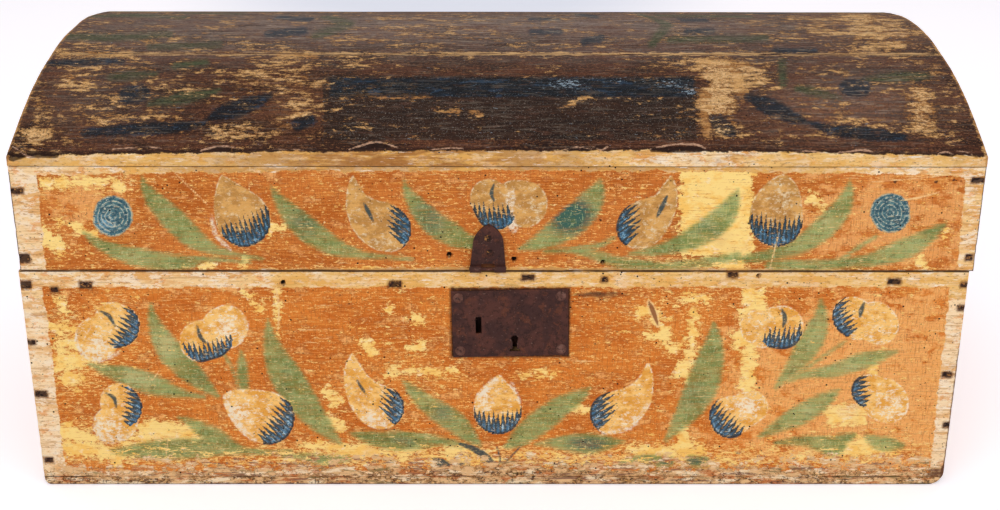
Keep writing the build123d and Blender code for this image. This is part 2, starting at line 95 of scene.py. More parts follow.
# Decoration, read off the photograph. A brush stroke is stations of (x, y, half width) in its pixels, so a leaf
# or a petal is a row of circles that grow and shrink.
lidFlowers = {
    "petals": [
        [(222, 177, 2), (227, 190, 11), (234, 205, 20), (241, 216, 26), (244, 220, 26.5)],
        [(353, 176, 1), (354, 190, 7), (359, 206, 13), (370, 219, 20), (382, 226, 24), (389, 230, 22)],
        [(489, 198, 19), (497, 209, 21)], [(515, 200, 20), (524, 204, 23.5)],
        [(671, 177, 1.5), (669, 190, 8), (664, 205, 13), (653, 216, 19), (643, 224, 23), (638, 228, 21)],
        [(783, 183, 9), (781, 196, 19), (777, 210, 25.5), (776, 220, 26.5)],
    ],
    # centre, radius, way that the strokes sweep, longest stroke, middle and half width of the fan
    "combs": [
        ((244, 220), 27.5, (-0.3, -1), 31, 2, 28), ((387, 229), 25, (-0.8, -0.55), 31, 11, 16),
        ((494, 206), 25, (-0.12, -1), 28, -4, 23), ((640, 227), 25, (0.78, -0.58), 31, -10, 17),
        ((776, 220), 27.5, (0.06, -1), 32, 0, 28),
    ],
    "leaves": [
        [(142, 177, 1), (146, 189, 5), (156, 202, 9), (173, 219, 12), (190, 235, 11), (208, 247, 7), (228, 253, 3),
         (262, 259, 1.5)],
        [(83, 232, 1), (98, 243, 5), (118, 252, 8), (142, 258, 9.5), (166, 262, 9), (190, 262, 6.5),
         (208, 259, 2.5), (250, 262, 1.5)],
        [(271, 186, 1), (278, 198, 5), (290, 213, 10), (307, 229, 12.5), (326, 242, 10.5), (346, 251, 7),
         (372, 256, 3), (412, 259, 1.5)],
        [(404, 181, 1), (408, 193, 5), (417, 206, 9), (431, 221, 12), (449, 233, 12), (466, 241, 8), (484, 246, 5)],
        [(600, 180, 1.5), (597, 192, 8), (589, 204, 13), (575, 219, 15.5), (557, 232, 13), (539, 242, 8),
         (520, 249, 2)],
        [(545, 251, 2), (572, 250, 3), (592, 254, 5), (615, 261, 5.5), (645, 265, 4.5), (680, 265, 4),
         (712, 261, 5), (738, 256, 4)],
        [(545, 252, 2), (575, 249, 2.5), (600, 245, 2.5), (614, 238, 1.5)],
        [(738, 190, 1), (733, 202, 7), (724, 216, 11.5), (710, 228, 12.5), (693, 238, 11), (674, 246, 8),
         (652, 251, 5), (630, 254, 2)],
        [(850, 180, 1), (848, 194, 6), (841, 209, 10), (829, 223, 11.5), (813, 237, 10.5), (795, 248, 8),
         (770, 255, 6), (735, 260, 3)],
        [(946, 223, 1), (934, 232, 6), (917, 243, 9.5), (899, 251, 10.5), (880, 257, 8), (858, 262, 5.5),
         (820, 265, 5), (770, 265, 5)],
        [(835, 264, 1.5), (855, 250, 2), (876, 236, 1.5)],
    ],
    "ink": [
        [(364, 203, 0.8), (368, 211, 2.2), (373, 221, 1)], [(494, 184, 0.8), (491.5, 193, 2), (494, 201, 1)],
        [(667, 196, 1.2), (662, 207, 2.4), (657, 217, 1)],
    ],
    "whites": [[(511, 195, 5), (510, 210, 3.2), (513, 228, 4.5)], [(231, 250, 1), (216, 235, 2), (211, 215, 1)]],
    "discs": [(112.8, 216), (890.4, 212.8)],
    "bareBoxes": [(679, 168, 753, 256), (40, 178, 110, 187), (715, 250, 745, 272)],
    "bare": [
        [(273, 228, 5), (281, 230, 4)], [(812, 198, 6), (822, 206, 3)], [(118, 184, 6), (126, 190, 3)],
        [(42, 235, 6), (56, 244, 7), (63, 249, 4)], [(245, 258, 2.5), (245, 270, 4)], [(205, 267, 4), (214, 262, 2)],
        [(920, 262, 5), (926, 266, 3)], [(944, 231, 4)], [(60, 222, 2), (96, 234, 4)],
    ],
    "scratches": [
        [(156, 152, 0.5), (176, 174, 0.7), (207, 204, 0.7)], [(250, 163, 0.4), (249, 192, 0.4)],
        [(905, 200, 0.9), (922, 197, 0.9), (940, 192, 0.6)], [(872, 182, 0.6), (920, 178, 0.6), (975, 172, 0.5)],
        [(779, 232, 0.8), (770, 268, 0.8)], [(120, 172, 0.5), (123, 192, 0.5)],
    ],
    "panel": [(37, 176), (966, 176), (957, 272), (46, 274)],
    "bow": 5.5,         # the photograph's long edges bow up in the middle, by this many pixels
    # soft blots (x, y, half length, half height, strength): where chips are thick on the ground,
    "worn": [(100, 182, 60, 12, 0.5), (60, 240, 40, 30, 0.35), (500, 268, 500, 5, 0.35), (700, 264, 60, 8, 0.6)],
    # where the orange is thin and light,
    "fade": [(900, 220, 130, 60, 0.6), (85, 200, 50, 30, 0.7)],
    # where leaves are darker than the rest, or lighter below 0,
    "shade": [
        (570, 216, 27, 22, 1.9), (304, 222, 26, 22, 0.55), (430, 216, 26, 26, 0.65), (130, 256, 24, 10, -0.5),
        (912, 249, 26, 14, -0.5), (829, 222, 14, 20, -0.45), (165, 210, 14, 16, -0.3), (708, 228, 24, 16, 0.45),
    ],
    # and where petals and round flowers are rubbed to white
    "paleSides": [
        (385, 243, 16, 8, 0.8), (538, 214, 14, 16, 0.5), (262, 200, 10, 16, 0.4), (104, 224, 12, 10, 1),
        (782, 196, 18, 20, 0.6), (655, 232, 12, 12, 0.5),
    ],
}
bodyFlowers = {
    "petals": [
        [(95, 337, 20), (99, 341, 19)], [(113, 321, 19), (118, 326, 21.5)], [(200, 341, 20.5), (212, 338, 20)],
        [(221, 328, 20), (226, 327, 22)], [(119, 402, 19), (122, 409, 20)], [(112, 424, 18.5), (120, 422, 18)],
        [(233, 400, 10), (246, 408, 19), (259, 415, 25), (268, 418, 26)],
        [(352, 355, 1.5), (353, 368, 8), (357, 383, 13), (366, 397, 18), (377, 406, 21.5), (383, 408, 21)],
        [(499, 378, 3), (498.5, 387, 9), (498, 396, 16), (497, 404, 22), (497.5, 410, 24)],
        [(648, 364, 1.5), (647, 376, 6), (642, 390, 11), (633, 402, 16.5), (620, 410, 20), (611, 414, 20.5)],
        [(757, 327, 17), (763, 329, 19)], [(778, 327, 21), (782, 327, 21.5)], [(852, 316, 19.5), (858, 320, 20)],
        [(875, 322, 20.5), (879, 325, 20)], [(730, 417, 20.5), (735, 415, 19)], [(747, 409, 17.5), (753, 407, 15.5)],
        [(868, 391, 16), (872, 392, 18)], [(884, 400, 22), (889, 403, 20)],
    ],
    "combs": [
        ((118, 326), 22.5, (-0.8, -0.5), 24, 2, 23), ((207, 338), 26.5, (-0.25, -1), 24, -1, 26),
        ((121, 407), 22, (-0.9, -0.3), 20, 5, 21), ((268, 418), 27.5, (-0.75, -0.62), 29, 2, 25),
        ((382, 407), 23, (-0.78, -0.6), 30, 9, 16), ((497.5, 410), 25, (0, -1), 23, 0, 26),
        ((611, 413), 22.5, (0.8, -0.5), 31, -8, 16), ((780, 328), 23.5, (0.2, -1), 26, 6, 21),
        ((853, 317), 21.5, (0.8, -0.5), 23, -4, 19), ((731, 417), 22.5, (0.62, -0.75), 26, -2, 22),
        ((869, 390), 19, (0.95, -0.25), 20, -3, 18),
    ],
    "leaves": [
        [(151, 304, 1), (152, 316, 4.5), (158, 332, 9), (169, 350, 12.5), (184, 366, 12), (199, 380, 9),
         (218, 396, 2)],
        [(89, 364, 1), (103, 369, 5), (120, 374, 9), (140, 380, 11), (160, 387, 9.5), (181, 393, 5),
         (204, 397, 1.5)],
        [(241, 351, 1), (242, 362, 4.5), (242.5, 375, 6), (244, 389, 5)],
        [(222, 352, 1), (232, 368, 1.5), (238, 388, 1)],
        [(268, 320, 1), (270, 338, 6.5), (276, 357, 12), (287, 378, 16), (300, 398, 15.5), (314, 416, 12),
         (328, 431, 7.5), (340, 443, 2)],
        [(178, 417, 1), (190, 422, 4), (203, 430, 8), (217, 438, 9), (230, 444, 6), (242, 448, 2)],
        [(112, 451, 2), (130, 451, 6), (152, 450, 9.5), (178, 449, 10.5), (205, 448, 10), (228, 449, 6),
         (258, 452, 3.5), (290, 452, 2.5)],
        [(283, 456, 1.5), (302, 457, 4), (325, 460, 6), (347, 459, 4)],
        [(403, 380, 1), (413, 391, 6), (426, 403, 9), (441, 413, 11), (456, 423, 11), (468, 434, 8), (480, 445, 2)],
        [(349, 433, 1), (366, 437, 6), (385, 440, 9), (403, 441, 10), (421, 441, 8), (440, 441, 5), (462, 445, 3)],
        [(590, 388, 1), (578, 397, 7), (563, 405, 10.5), (548, 416, 12), (533, 427, 12), (519, 438, 9),
         (506, 447, 2)],
        [(535, 444, 1.5), (553, 443, 5), (571, 443, 9), (588, 444, 10.5), (604, 443, 8), (625, 441, 1)],
        [(714, 324, 2), (714, 340, 8), (711, 357, 13), (706, 375, 16), (699, 392, 16), (690, 408, 13),
         (679, 423, 8), (666, 440, 2)],
        [(821, 300, 2), (821, 316, 7), (816, 332, 11.5), (807, 348, 12), (797, 362, 9), (787, 374, 6),
         (776, 387, 2)],
        [(897, 351, 1.5), (880, 356, 6), (862, 361, 8.5), (845, 367, 8), (828, 372, 6), (808, 374, 4),
         (788, 381, 2)],
        [(839, 390, 1.5), (826, 399, 7), (812, 408, 10), (796, 417, 10), (780, 425, 7), (760, 436, 2)],
        [(776, 443, 2), (800, 441, 4.5), (820, 443, 8), (834, 447, 10), (842, 440, 7), (853, 436, 3)],
        [(867, 437, 3), (878, 443, 7), (890, 444, 7), (902, 446, 3)], [(660, 462, 6), (668, 461, 6)],
        [(692, 461, 6), (704, 462, 6)], [(620, 463, 2), (645, 458, 4), (662, 459, 4)],
        [(776, 386, 1.5), (800, 372, 2), (822, 357, 1.8), (846, 341, 1.2)],
    ],
    "ink": [
        [(100, 311, 0.8), (109, 316, 2), (115, 326, 1)], [(197, 325, 0.8), (200, 336, 2), (206, 343, 1)],
        [(106, 393, 0.8), (114, 398, 2), (116, 407, 1)], [(357, 380, 0.8), (361, 387, 1.6), (366, 394, 0.8)],
        [(782, 310, 1.4), (785, 318, 2.4), (783, 327, 1)], [(864, 303, 1.2), (861, 311, 2.4), (860, 317, 1)],
        [(460, 444, 1.5), (474, 449, 3), (487, 458, 3.6), (499, 471, 1.2)],
        [(434, 459, 1.5), (441, 463, 4.5), (450, 465, 2.5), (464, 464, 1.2)],
        [(497, 447, 0.8), (500, 459, 1), (498, 468, 0.8)], [(521, 446, 0.6), (508, 460, 0.9), (501, 471, 0.8)],
    ],
    "whites": [
        [(78, 330, 1), (76, 341, 1.5), (84, 355, 2), (100, 360, 2.5), (118, 353, 1.5)],
        [(225, 397, 2), (232, 413, 3), (241, 428, 3), (255, 440, 2)],
        [(96, 418, 2), (97, 432, 3), (110, 440, 4), (126, 436, 3)], [(243, 315, 1), (247, 328, 1.5),
         (240, 342, 1.5)],
        [(476, 400, 1.5), (486, 388, 3), (497, 379, 2)], [(370, 420, 4), (384, 424, 3)],
        [(512, 384, 2), (520, 402, 1.2)], [(602, 433, 1), (630, 428, 2), (648, 402, 1.2)],
    ],
    "bareBoxes": [(139, 424, 200, 441), (742, 288, 766, 331), (742, 344, 755, 388), (826, 405, 868, 425)],
    "bare": [
        [(277, 286, 4), (277, 310, 2.4), (277, 346, 1.2)], [(52, 327, 5), (76, 331, 3)],
        [(60, 344, 6), (100, 346, 5)], [(62, 362, 9), (90, 358, 6)], [(66, 378, 7), (84, 381, 3)],
        [(60, 300, 4), (66, 316, 3)], [(694, 313, 4), (692, 345, 5.5), (689, 358, 6), (683, 372, 9)],
        [(684, 300, 3), (705, 298, 4)], [(640, 313, 5), (652, 311, 5), (663, 331, 5), (673, 348, 6)],
        [(648, 335, 3), (670, 343, 4)], [(682, 417, 1.5), (683, 431, 5), (684, 444, 10)],
        [(744, 384, 6), (752, 394, 4)], [(742, 338, 10), (752, 344, 8)], [(836, 449, 7), (862, 446, 8)],
        [(870, 449, 6), (888, 450, 5)], [(415, 318, 6), (421, 321, 3)], [(411, 350, 4), (421, 348, 6)],
        [(366, 344, 5), (372, 352, 4)], [(389, 309, 3)], [(417, 398, 5), (432, 400, 4)],
        [(388, 371, 4), (424, 372, 2.5), (455, 371, 3)], [(525, 375, 2), (553, 374, 2)],
        [(572, 408, 5), (588, 409, 2.5)], [(326, 391, 4), (336, 402, 5)], [(330, 420, 6), (342, 428, 4)],
        [(150, 430, 9), (188, 431, 8)], [(70, 448, 7), (104, 452, 6), (118, 459, 6)], [(60, 430, 8), (90, 438, 5)],
        [(300, 446, 3), (330, 447, 5), (360, 449, 6)], [(450, 451, 6), (470, 452, 3)],
        [(630, 448, 3), (660, 452, 6), (700, 450, 4)], [(870, 408, 7)], [(340, 452, 6), (420, 450, 4)],
        [(243, 291, 2), (262, 309, 2), (258, 299, 2)], [(880, 352, 3), (872, 366, 4), (874, 376, 5)],
    ],
    "scars": [[(649, 302, 0.8), (653, 311, 2.4), (658, 325, 0.9)]],
    "scratches": [
        [(276, 288, 1.2), (279, 306, 0.9), (278, 330, 0.7)], [(147, 373, 0.6), (152, 380, 0.7), (159, 371, 0.6)],
        [(168, 440, 0.6), (166, 456, 0.6)], [(868, 324, 1), (888, 334, 0.8)], [(404, 316, 0.5), (402, 330, 0.5)],
        [(300, 330, 0.5), (330, 329, 0.6)], [(560, 360, 0.5), (600, 362, 0.6)],
    ],
    "panel": [(43, 287.5), (950, 287), (930, 471), (65, 471)],
    "worn": [
        (80, 350, 70, 70, 0.42), (90, 440, 120, 22, 0.55), (300, 452, 330, 10, 0.45), (700, 452, 300, 12, 0.5),
        (410, 385, 110, 60, 0.22), (660, 320, 70, 60, 0.2), (170, 432, 60, 16, 0.4), (480, 462, 470, 8, 0.6),
        (850, 440, 90, 24, 0.3), (700, 300, 90, 20, 0.2),
    ],
    "fade": [(900, 380, 150, 120, 0.75), (780, 400, 120, 80, 0.35), (200, 300, 160, 40, 0.1)],
    "shade": [
        (165, 345, 18, 26, -0.9), (140, 379, 26, 12, -0.8), (695, 395, 22, 26, 0.35), (590, 444, 28, 9, 1.1),
        (402, 441, 24, 8, 0.5), (441, 412, 20, 16, 0.5), (287, 380, 16, 30, 0.2), (814, 328, 14, 24, -0.5),
        (845, 365, 26, 9, -0.5), (806, 412, 18, 12, -0.8), (205, 450, 40, 10, -0.3), (695, 461, 20, 6, 0.9),
        (665, 461, 12, 6, 0.9), (200, 378, 16, 16, 0.25),
    ],
    "paleSides": [
        (96, 352, 22, 14, 1), (228, 325, 16, 20, 0.7), (108, 428, 20, 16, 1), (238, 414, 22, 24, 1),
        (372, 420, 18, 14, 1), (484, 398, 12, 24, 1), (632, 420, 18, 12, 0.7), (880, 330, 18, 12, 0.4),
        (745, 404, 14, 12, 0.8), (894, 408, 22, 22, 0.9), (762, 322, 10, 14, 0.5), (97, 338, 16, 12, 0.6),
        (748, 408, 14, 10, 0.8), (224, 330, 18, 12, 0.5),
    ],
}
domeFlowers = {
    # dull green leaves
    "leaves": [
        [(110, 78, 3), (132, 76, 5), (156, 74, 2)], [(150, 104, 3), (185, 98, 6), (219, 90, 2)],
        [(175, 66, 3), (206, 62, 3)], [(862, 80, 2), (895, 77, 5), (928, 76, 3)],
        [(797, 88, 3), (818, 93, 5), (840, 98, 2)], [(782, 62, 4), (783, 84, 4)], [(315, 36, 4), (350, 24, 4)],
        [(652, 44, 4), (668, 24, 5)], [(669, 40, 3), (766, 38, 3)], [(60, 36, 3), (110, 38, 4), (170, 34, 3)],
        [(150, 47, 3), (220, 45, 3)],
    ],
    # blue-black strokes
    "ink": [
        [(128, 95, 9), (141, 93, 9)], [(848, 88, 9), (862, 88, 9)],
        [(206, 120, 2), (225, 112, 8), (250, 104, 8), (270, 96, 3)],
        [(84, 133, 4), (120, 130, 6), (165, 128, 6), (203, 124, 3)], [(298, 124, 7), (310, 120, 6)],
        [(47, 63, 3), (85, 62, 4), (122, 61, 3)], [(747, 97, 3), (768, 106, 9), (790, 116, 7), (806, 122, 3)],
        [(806, 122, 2), (835, 130, 6), (870, 134, 7), (903, 137, 4)], [(712, 118, 4), (722, 126, 8), (733, 133, 4)],
        [(687, 31, 3), (712, 31, 3)], [(775, 51, 3), (815, 51, 3)], [(268, 34, 4), (304, 31, 4)],
        [(532, 32, 3), (560, 32, 3)], [(584, 42, 4), (601, 38, 4)],
    ],
    # painted shadow: the dark hollows under those rims
    "curls": [
        [(205, 150, 0.5), (222, 149, 2.4), (242, 151, 0.5)], [(352, 149, 0.5), (375, 146, 2.6), (390, 147, 0.8)],
        [(568, 150, 0.5), (580, 149, 1.4), (590, 150, 0.5)], [(597, 147, 1.4), (605, 147, 1.2)],
        [(652, 150, 1.6), (675, 149.5, 2.8), (700, 149.5, 2.4)], [(942, 154, 1.2), (952, 155, 1.6)],
        [(30, 154, 3), (56, 155, 2.6)], [(8, 151, 1.5), (12, 157, 4), (25, 158, 2)],
    ],
    "band": (330, 78, 694, 97),
    "plate": (323, 76, 696, 140),
    "bare": [
        [(342, 95, 1), (428, 96, 1.2)], [(436, 112, 1.2), (459, 111, 1)], [(472, 114, 1.5), (481, 114, 1.5)],
        [(562, 108, 0.8), (590, 95, 1.2)], [(278, 55, 1.8), (315, 55, 1.6)], [(60, 54, 1), (130, 54, 1.2)],
        [(700, 62, 2), (746, 66, 3)], [(704, 98, 5), (706, 134, 3)], [(736, 78, 4), (744, 96, 3)],
    ],
    "panel": [(-60, -60), (1060, -60), (1060, 156), (-60, 156)],
    "bow": 6,         # the photograph's long edges bow up in the middle, by this many pixels
    # pale rims of the paint that curls up along the front edge
    "scratches": [
        [(12, 146, 0.7), (20, 151, 0.8), (30, 157, 0.8), (55, 158, 0.7), (63, 156, 0.5)],
        [(200, 151, 0.6), (210, 148, 0.9), (222, 146, 0.9), (243, 149, 0.6)],
        [(348, 150, 0.6), (360, 146, 0.9), (375, 142, 1), (388, 144, 0.9), (398, 148, 0.6)],
        [(430, 150, 0.5), (450, 148, 0.8), (464, 149, 0.5)], [(563, 150, 0.5), (578, 147, 0.8), (591, 149, 0.6)],
        [(593, 147, 0.7), (602, 150, 0.8), (608, 146, 0.6)],
        [(650, 149, 0.6), (664, 146, 0.9), (681, 144, 1), (698, 145, 1), (706, 149, 0.6)],
        [(795, 152, 0.5), (810, 151, 0.8), (823, 153, 0.5)], [(838, 153, 0.5), (862, 150, 1), (873, 152, 0.5)],
        [(938, 154, 0.6), (945, 152, 0.8), (955, 155, 0.6)], [(956, 151, 0.6), (966, 152, 0.8), (974, 155, 0.5)],
        [(112, 149, 0.4), (145, 147, 0.5), (165, 149, 0.4)], [(272, 149, 0.4), (305, 150, 0.5)],
    ],
    # where the dark coat is scraped to ochre, or whole below 0,
    "worn": [
        (70, 80, 26, 11, 0.8), (45, 105, 17, 6, 0.5), (108, 117, 22, 9, 0.35), (78, 114, 18, 12, 0.25),
        (169, 117, 21, 9, 0.7), (234, 133, 38, 9, 0.7), (258, 78, 22, 17, 0.6), (300, 82, 27, 22, 0.6),
        (297, 114, 27, 21, 0.7), (34, 139, 17, 17, 0.8), (143, 40, 20, 4, 0.7), (428, 34, 80, 17, 0.35),
        (719, 100, 24, 42, 2), (730, 70, 40, 10, 0.9), (760, 78, 16, 17, 0.8), (840, 115, 66, 25, 0.45),
        (920, 108, 20, 32, 1.7), (672, 68, 28, 10, 0.5), (848, 30, 72, 12, 0.8), (890, 40, 30, 20, 0.9),
        (936, 68, 10, 8, 0.8), (80, 132, 70, 14, 0.3), (170, 90, 200, 60, 0.15), (510, 108, 200, 40, -0.9),
        (500, 146, 520, 8, -0.5), (975, 100, 14, 60, -0.6),
    ],
    # where it is red brown,
    "russet": [(840, 110, 90, 34, 1), (880, 34, 60, 16, 0.5), (60, 110, 60, 30, 0.4), (290, 100, 40, 40, 0.8)],
    # and where light blue glints through it
    "glints": [(566, 84, 26, 7, 1), (672, 86, 24, 7, 0.8), (632, 80, 60, 4, 0.5), (690, 92, 10, 5, 1)],
    # where it is dusty, and paler and greyer with painted sheen,
    "fade": [
        (500, 22, 520, 24, 0.9), (850, 95, 120, 50, 0.4), (200, 45, 220, 24, 0.35), (100, 95, 90, 50, 0.25),
        (620, 50, 330, 20, 0.3),
    ],
}


def bothSides(*strokes):
    # the strokes and their mirror images
    return [*strokes, *([(-x, y, half) for x, y, half in stroke] for stroke in strokes)]


# The ends: the same flowers, laid out afresh for the unseen sides, across from the middle and down from the body's top
endScale = 1.8            # pixels to the millimetre
endFlowers = {
    "petals": [
        [(0, 74, 2), (0, 86, 13), (0, 100, 23), (0, 108, 25)],
        *bothSides([(150, 62, 2), (152, 74, 10), (156, 88, 18), (160, 98, 21)]),
    ],
    "combs": [
        ((0, 108), 26, (-0.1, -1), 27, 0, 26), ((-160, 98), 22, (-0.7, -0.7), 24, 3, 18),
        ((160, 98), 22, (0.7, -0.7), 24, -3, 18),
    ],
    "leaves": [
        [(0, 132, 2), (1, 160, 2.5), (0, 192, 2)],
        *bothSides(
            [(104, 60, 1), (96, 84, 7), (78, 112, 13), (50, 138, 12), (20, 160, 7), (0, 190, 2)],
            [(222, 150, 1), (195, 160, 7), (160, 168, 11), (115, 176, 9), (60, 184, 5), (0, 190, 2)],
            [(160, 118, 2), (150, 140, 2.5), (110, 170, 2.5)],
        ),
    ],
    "ink": [[(-10, 86, 0.8), (-12, 98, 2.2), (-8, 108, 1)], [(12, 88, 0.8), (14, 98, 2.2), (9, 106, 1)]],
    "whites": [[(-30, 96, 1), (-26, 122, 2.5), (-8, 136, 2)]],
    "discs": [(-215, 70), (215, 72)],
    "bare": [
        [(-236, 196, 5), (-190, 202, 6)], [(60, 205, 4), (130, 207, 6)], [(228, 30, 5), (236, 70, 4)],
        [(-60, 34, 3), (-20, 38, 4)], [(96, 150, 3), (124, 156, 4)], [(-240, 120, 4), (-232, 150, 5)],
    ],
    "panel": [(-243, 15), (243, 15), (243, 212), (-243, 212)],
    "worn": [(0, 210, 260, 18, 0.5), (-200, 40, 80, 40, 0.2), (200, 180, 80, 50, 0.3)],
    "fade": [(120, 60, 160, 60, 0.4)],
    "shade": [(-84, 108, 20, 16, 0.8), (84, 108, 20, 16, 0.5)],
    "paleSides": [
        (-12, 92, 12, 20, 0.8), (-166, 88, 12, 12, 0.7), (152, 84, 12, 14, 0.5), (-222, 78, 10, 10, 0.8),
        (208, 80, 10, 10, 0.6),
    ],
}
lidEndFlowers = {
    **endFlowers,
    "petals": [],
    "combs": [],
    "leaves": bothSides(
        [(26, -70, 2), (60, -76, 8), (100, -66, 12), (140, -44, 9), (176, -30, 2)],
        [(20, -54, 2), (60, -38, 6), (110, -26, 7), (150, -22, 2)],
    ),
    "ink": [],
    "whites": [],
    "discs": [(0, -66)],
    "bare": [[(-230, -40, 5), (-222, -70, 4)], [(130, -92, 3), (170, -90, 4)], [(190, -24, 4), (226, -22, 5)]],
    "panel": [(-243, -300), (243, -300), (243, -14), (-243, -14)],
    "worn": [(0, -14, 260, 14, 0.4), (0, -150, 200, 20, 0.5)],
    "shade": [(-100, -66, 24, 14, 0.6)],
    "paleSides": [(-8, -58, 10, 10, 0.8)],
}


def curved(stations, steps=4):
    # the stations with a smooth curve put through them
    rows = np.array(stations if len(stations) > 1 else list(stations) * 2, float)
    padded = np.vstack([2 * rows[0] - rows[1], rows, 2 * rows[-1] - rows[-2]])
    made = []
    for a, b, c, d in zip(padded, padded[1:], padded[2:], padded[3:]):
        for t in np.arange(steps) / steps:
            bend = (2 * a - 5 * b + 4 * c - d) * t**2 + (3 * b - a - 3 * c + d) * t**3
            made.append(0.5 * (2 * b + (c - a) * t + bend))
    made.append(rows[-1])
    return np.array(made)


farOff = 400.0            # pixels, for a place that no stroke comes near


def strokeField(spots, stations):
    # pixels to the edge of a brush stroke, below 0 inside it
    best = np.full(len(spots), farOff)
    line = curved(stations)
    reach = line[:, 2].max() + 30
    near = np.all((spots > line[:, :2].min(0) - reach) & (spots < line[:, :2].max(0) + reach), axis=1)
    close = spots[near]
    found = np.full(len(close), farOff)
    for (ax, ay, ar), (bx, by, br) in zip(line, line[1:]):
        run = np.array((bx - ax, by - ay))
        share = np.clip(((close - (ax, ay)) @ run) / max(run @ run, 1e-9), 0, 1)
        away = np.hypot(close[:, 0] - ax - share * run[0], close[:, 1] - ay - share * run[1])
        found = np.minimum(found, away - ar - share * (br - ar))
    best[near] = found
    return best


def boxField(spots, box):
    left, top, right, bottom = box
    return np.maximum.reduce([left - spots[:, 0], spots[:, 0] - right, top - spots[:, 1], spots[:, 1] - bottom])


def quadField(spots, corners):
    # pixels outside a four-sided panel whose corners go round clockwise as seen
    sides = []
    for (ax, ay), (bx, by) in zip(corners, corners[1:] + corners[:1]):
        length = math.hypot(bx - ax, by - ay)
        sides.append(((spots[:, 0] - ax) * (by - ay) - (spots[:, 1] - ay) * (bx - ax)) / length)
    return np.maximum.reduce(sides)


def bent(spots, bow):
    # the spots as if the photograph's long edges, which bow up in the middle, were straight
    lift = bow * (1 - ((spots[:, 0] - 500) / 490) ** 2)
    return spots + np.stack([np.zeros(len(spots)), lift], 1)


def union(spots, fields):
    # the nearest of several shapes
    return np.minimum.reduce([np.full(len(spots), farOff), *fields])


def bumps(spots, places):
    # soft blots: (x, y, half length, half height, strength)
    total = np.zeros(len(spots))
    for x, y, wide, high, strength in places:
        total += strength * np.exp(-(((spots[:, 0] - x) / wide) ** 2 + ((spots[:, 1] - y) / high) ** 2) * 1.6)
    return total


strokesOf = {
    "leaf": "leaves", "petal": "petals", "ink": "ink", "white": "whites", "scar": "scars", "scratch": "scratches",
    "curl": "curls",
}
blotsOf = {
    "worn": "worn", "fade": "fade", "shade": "shade", "paleSide": "paleSides", "russet": "russet", "glints": "glints",
}
comb = {"overrun": 1.1, "taper": 0.36, "rim": 5, "none": 9.0}      # fans of blue strokes, and what stands for no fan


def paintFields(spots, flowers):
    # every field of the decoration at each vertex, for the paint's shader to turn into edges
    made = {"panel": quadField(bent(spots, flowers.get("bow", 0)), flowers["panel"])}
    for name, part in strokesOf.items():
        made[name] = union(spots, [strokeField(spots, s) for s in flowers.get(part, [])])
    for name, part in blotsOf.items():
        made[name] = bumps(spots, flowers.get(part, []))
    patches = [boxField(spots, box) for box in flowers.get("bareBoxes", [])]
    made["bare"] = union(spots, patches + [strokeField(spots, s) for s in flowers["bare"]])
    made["disc"] = union(spots, [np.hypot(spots[:, 0] - x, spots[:, 1] - y) for x, y in flowers.get("discs", [])])
    combReach = np.full(len(spots), comb["none"])
    combAcross = np.zeros(len(spots))
    for centre, radius, sweep, length, middle, half in flowers.get("combs", []):
        along = np.array(sweep) / np.hypot(*sweep)
        away = spots - centre
        far = np.hypot(away[:, 0], away[:, 1])
        across = away @ np.array((-along[1], along[0]))
        down = away @ -along
        depth = np.sqrt(np.maximum(radius**2 - across**2, 0)) - down
        taper = np.maximum(1 - ((across - middle) / half) ** 2, 1e-4) ** comb["taper"]
        reach = depth / (length * comb["overrun"] * taper)
        better = (far < radius) & (reach < combReach)
        combReach[better] = reach[better]
        about = better | ((far < radius + comb["rim"]) & (combReach > comb["none"] - 1))
        combAcross[about] = across[about] + centre[0]
    made["combReach"] = combReach
    made["combAcross"] = combAcross
    return made


def storeField(piece, name, values):
    if name in piece.data.attributes:
        piece.data.attributes.remove(piece.data.attributes[name])
    layer = piece.data.attributes.new(name, "FLOAT", "POINT")
    layer.data.foreach_set("value", np.asarray(values, np.float32))


def vertexPlaces(piece):
    flat = np.empty(len(piece.data.vertices) * 3, np.float32)
    piece.data.vertices.foreach_get("co", flat)
    return flat.reshape(-1, 3).astype(float)


def setPlaces(piece, places):
    piece.data.vertices.foreach_set("co", np.asarray(places, np.float32).ravel())
    piece.data.update()


def ripple(places, lengths, seed):
    # Perlin noise at each place, with its own wavelength along X, Y and Z
    scaled = places / np.array(lengths) + seed
    return np.array([noise.noise(Vector(p)) for p in scaled])


print("stage 1: decoration read in")

# What a painter does, as nodes: the node, its inputs in order, its output and its settings
brushwork = {
    "place": ("TexCoord", (), "Object", {}),
    "field": ("Attribute", (), "Fac", {}),
    "stretch": ("Mapping", ("Vector", "Location", "Scale"), 0, {}),
    "split": ("SeparateXYZ", (0,), 0, {}),
    "blots": ("TexNoise", ("Vector", "Scale", "Detail", "Roughness", "Distortion"), 0, {}),
    "cells": ("TexVoronoi", ("Vector", "Scale"), "Distance", {}),
    "plus": ("Math", (0, 1), 0, {"operation": "ADD"}),
    "less": ("Math", (0, 1), 0, {"operation": "SUBTRACT"}),
    "times": ("Math", (0, 1), 0, {"operation": "MULTIPLY"}),
    "larger": ("Math", (0, 1), 0, {"operation": "MAXIMUM"}),
    "toAndFro": ("Math", (0, 1), 0, {"operation": "PINGPONG"}),
    "ease": ("MapRange", (0, 1, 2, 3, 4), 0, {"interpolation_type": "SMOOTHSTEP"}),
    "over": ("Mix", (6, 7, 0), 2, {"data_type": "RGBA"}),
    "relief": ("Bump", ("Height", "Strength", "Distance"), 0, {}),
    "length": ("VectorMath", (0,), "Value", {"operation": "LENGTH"}),
    "rays": ("LightPath", (), 0, {}),
}


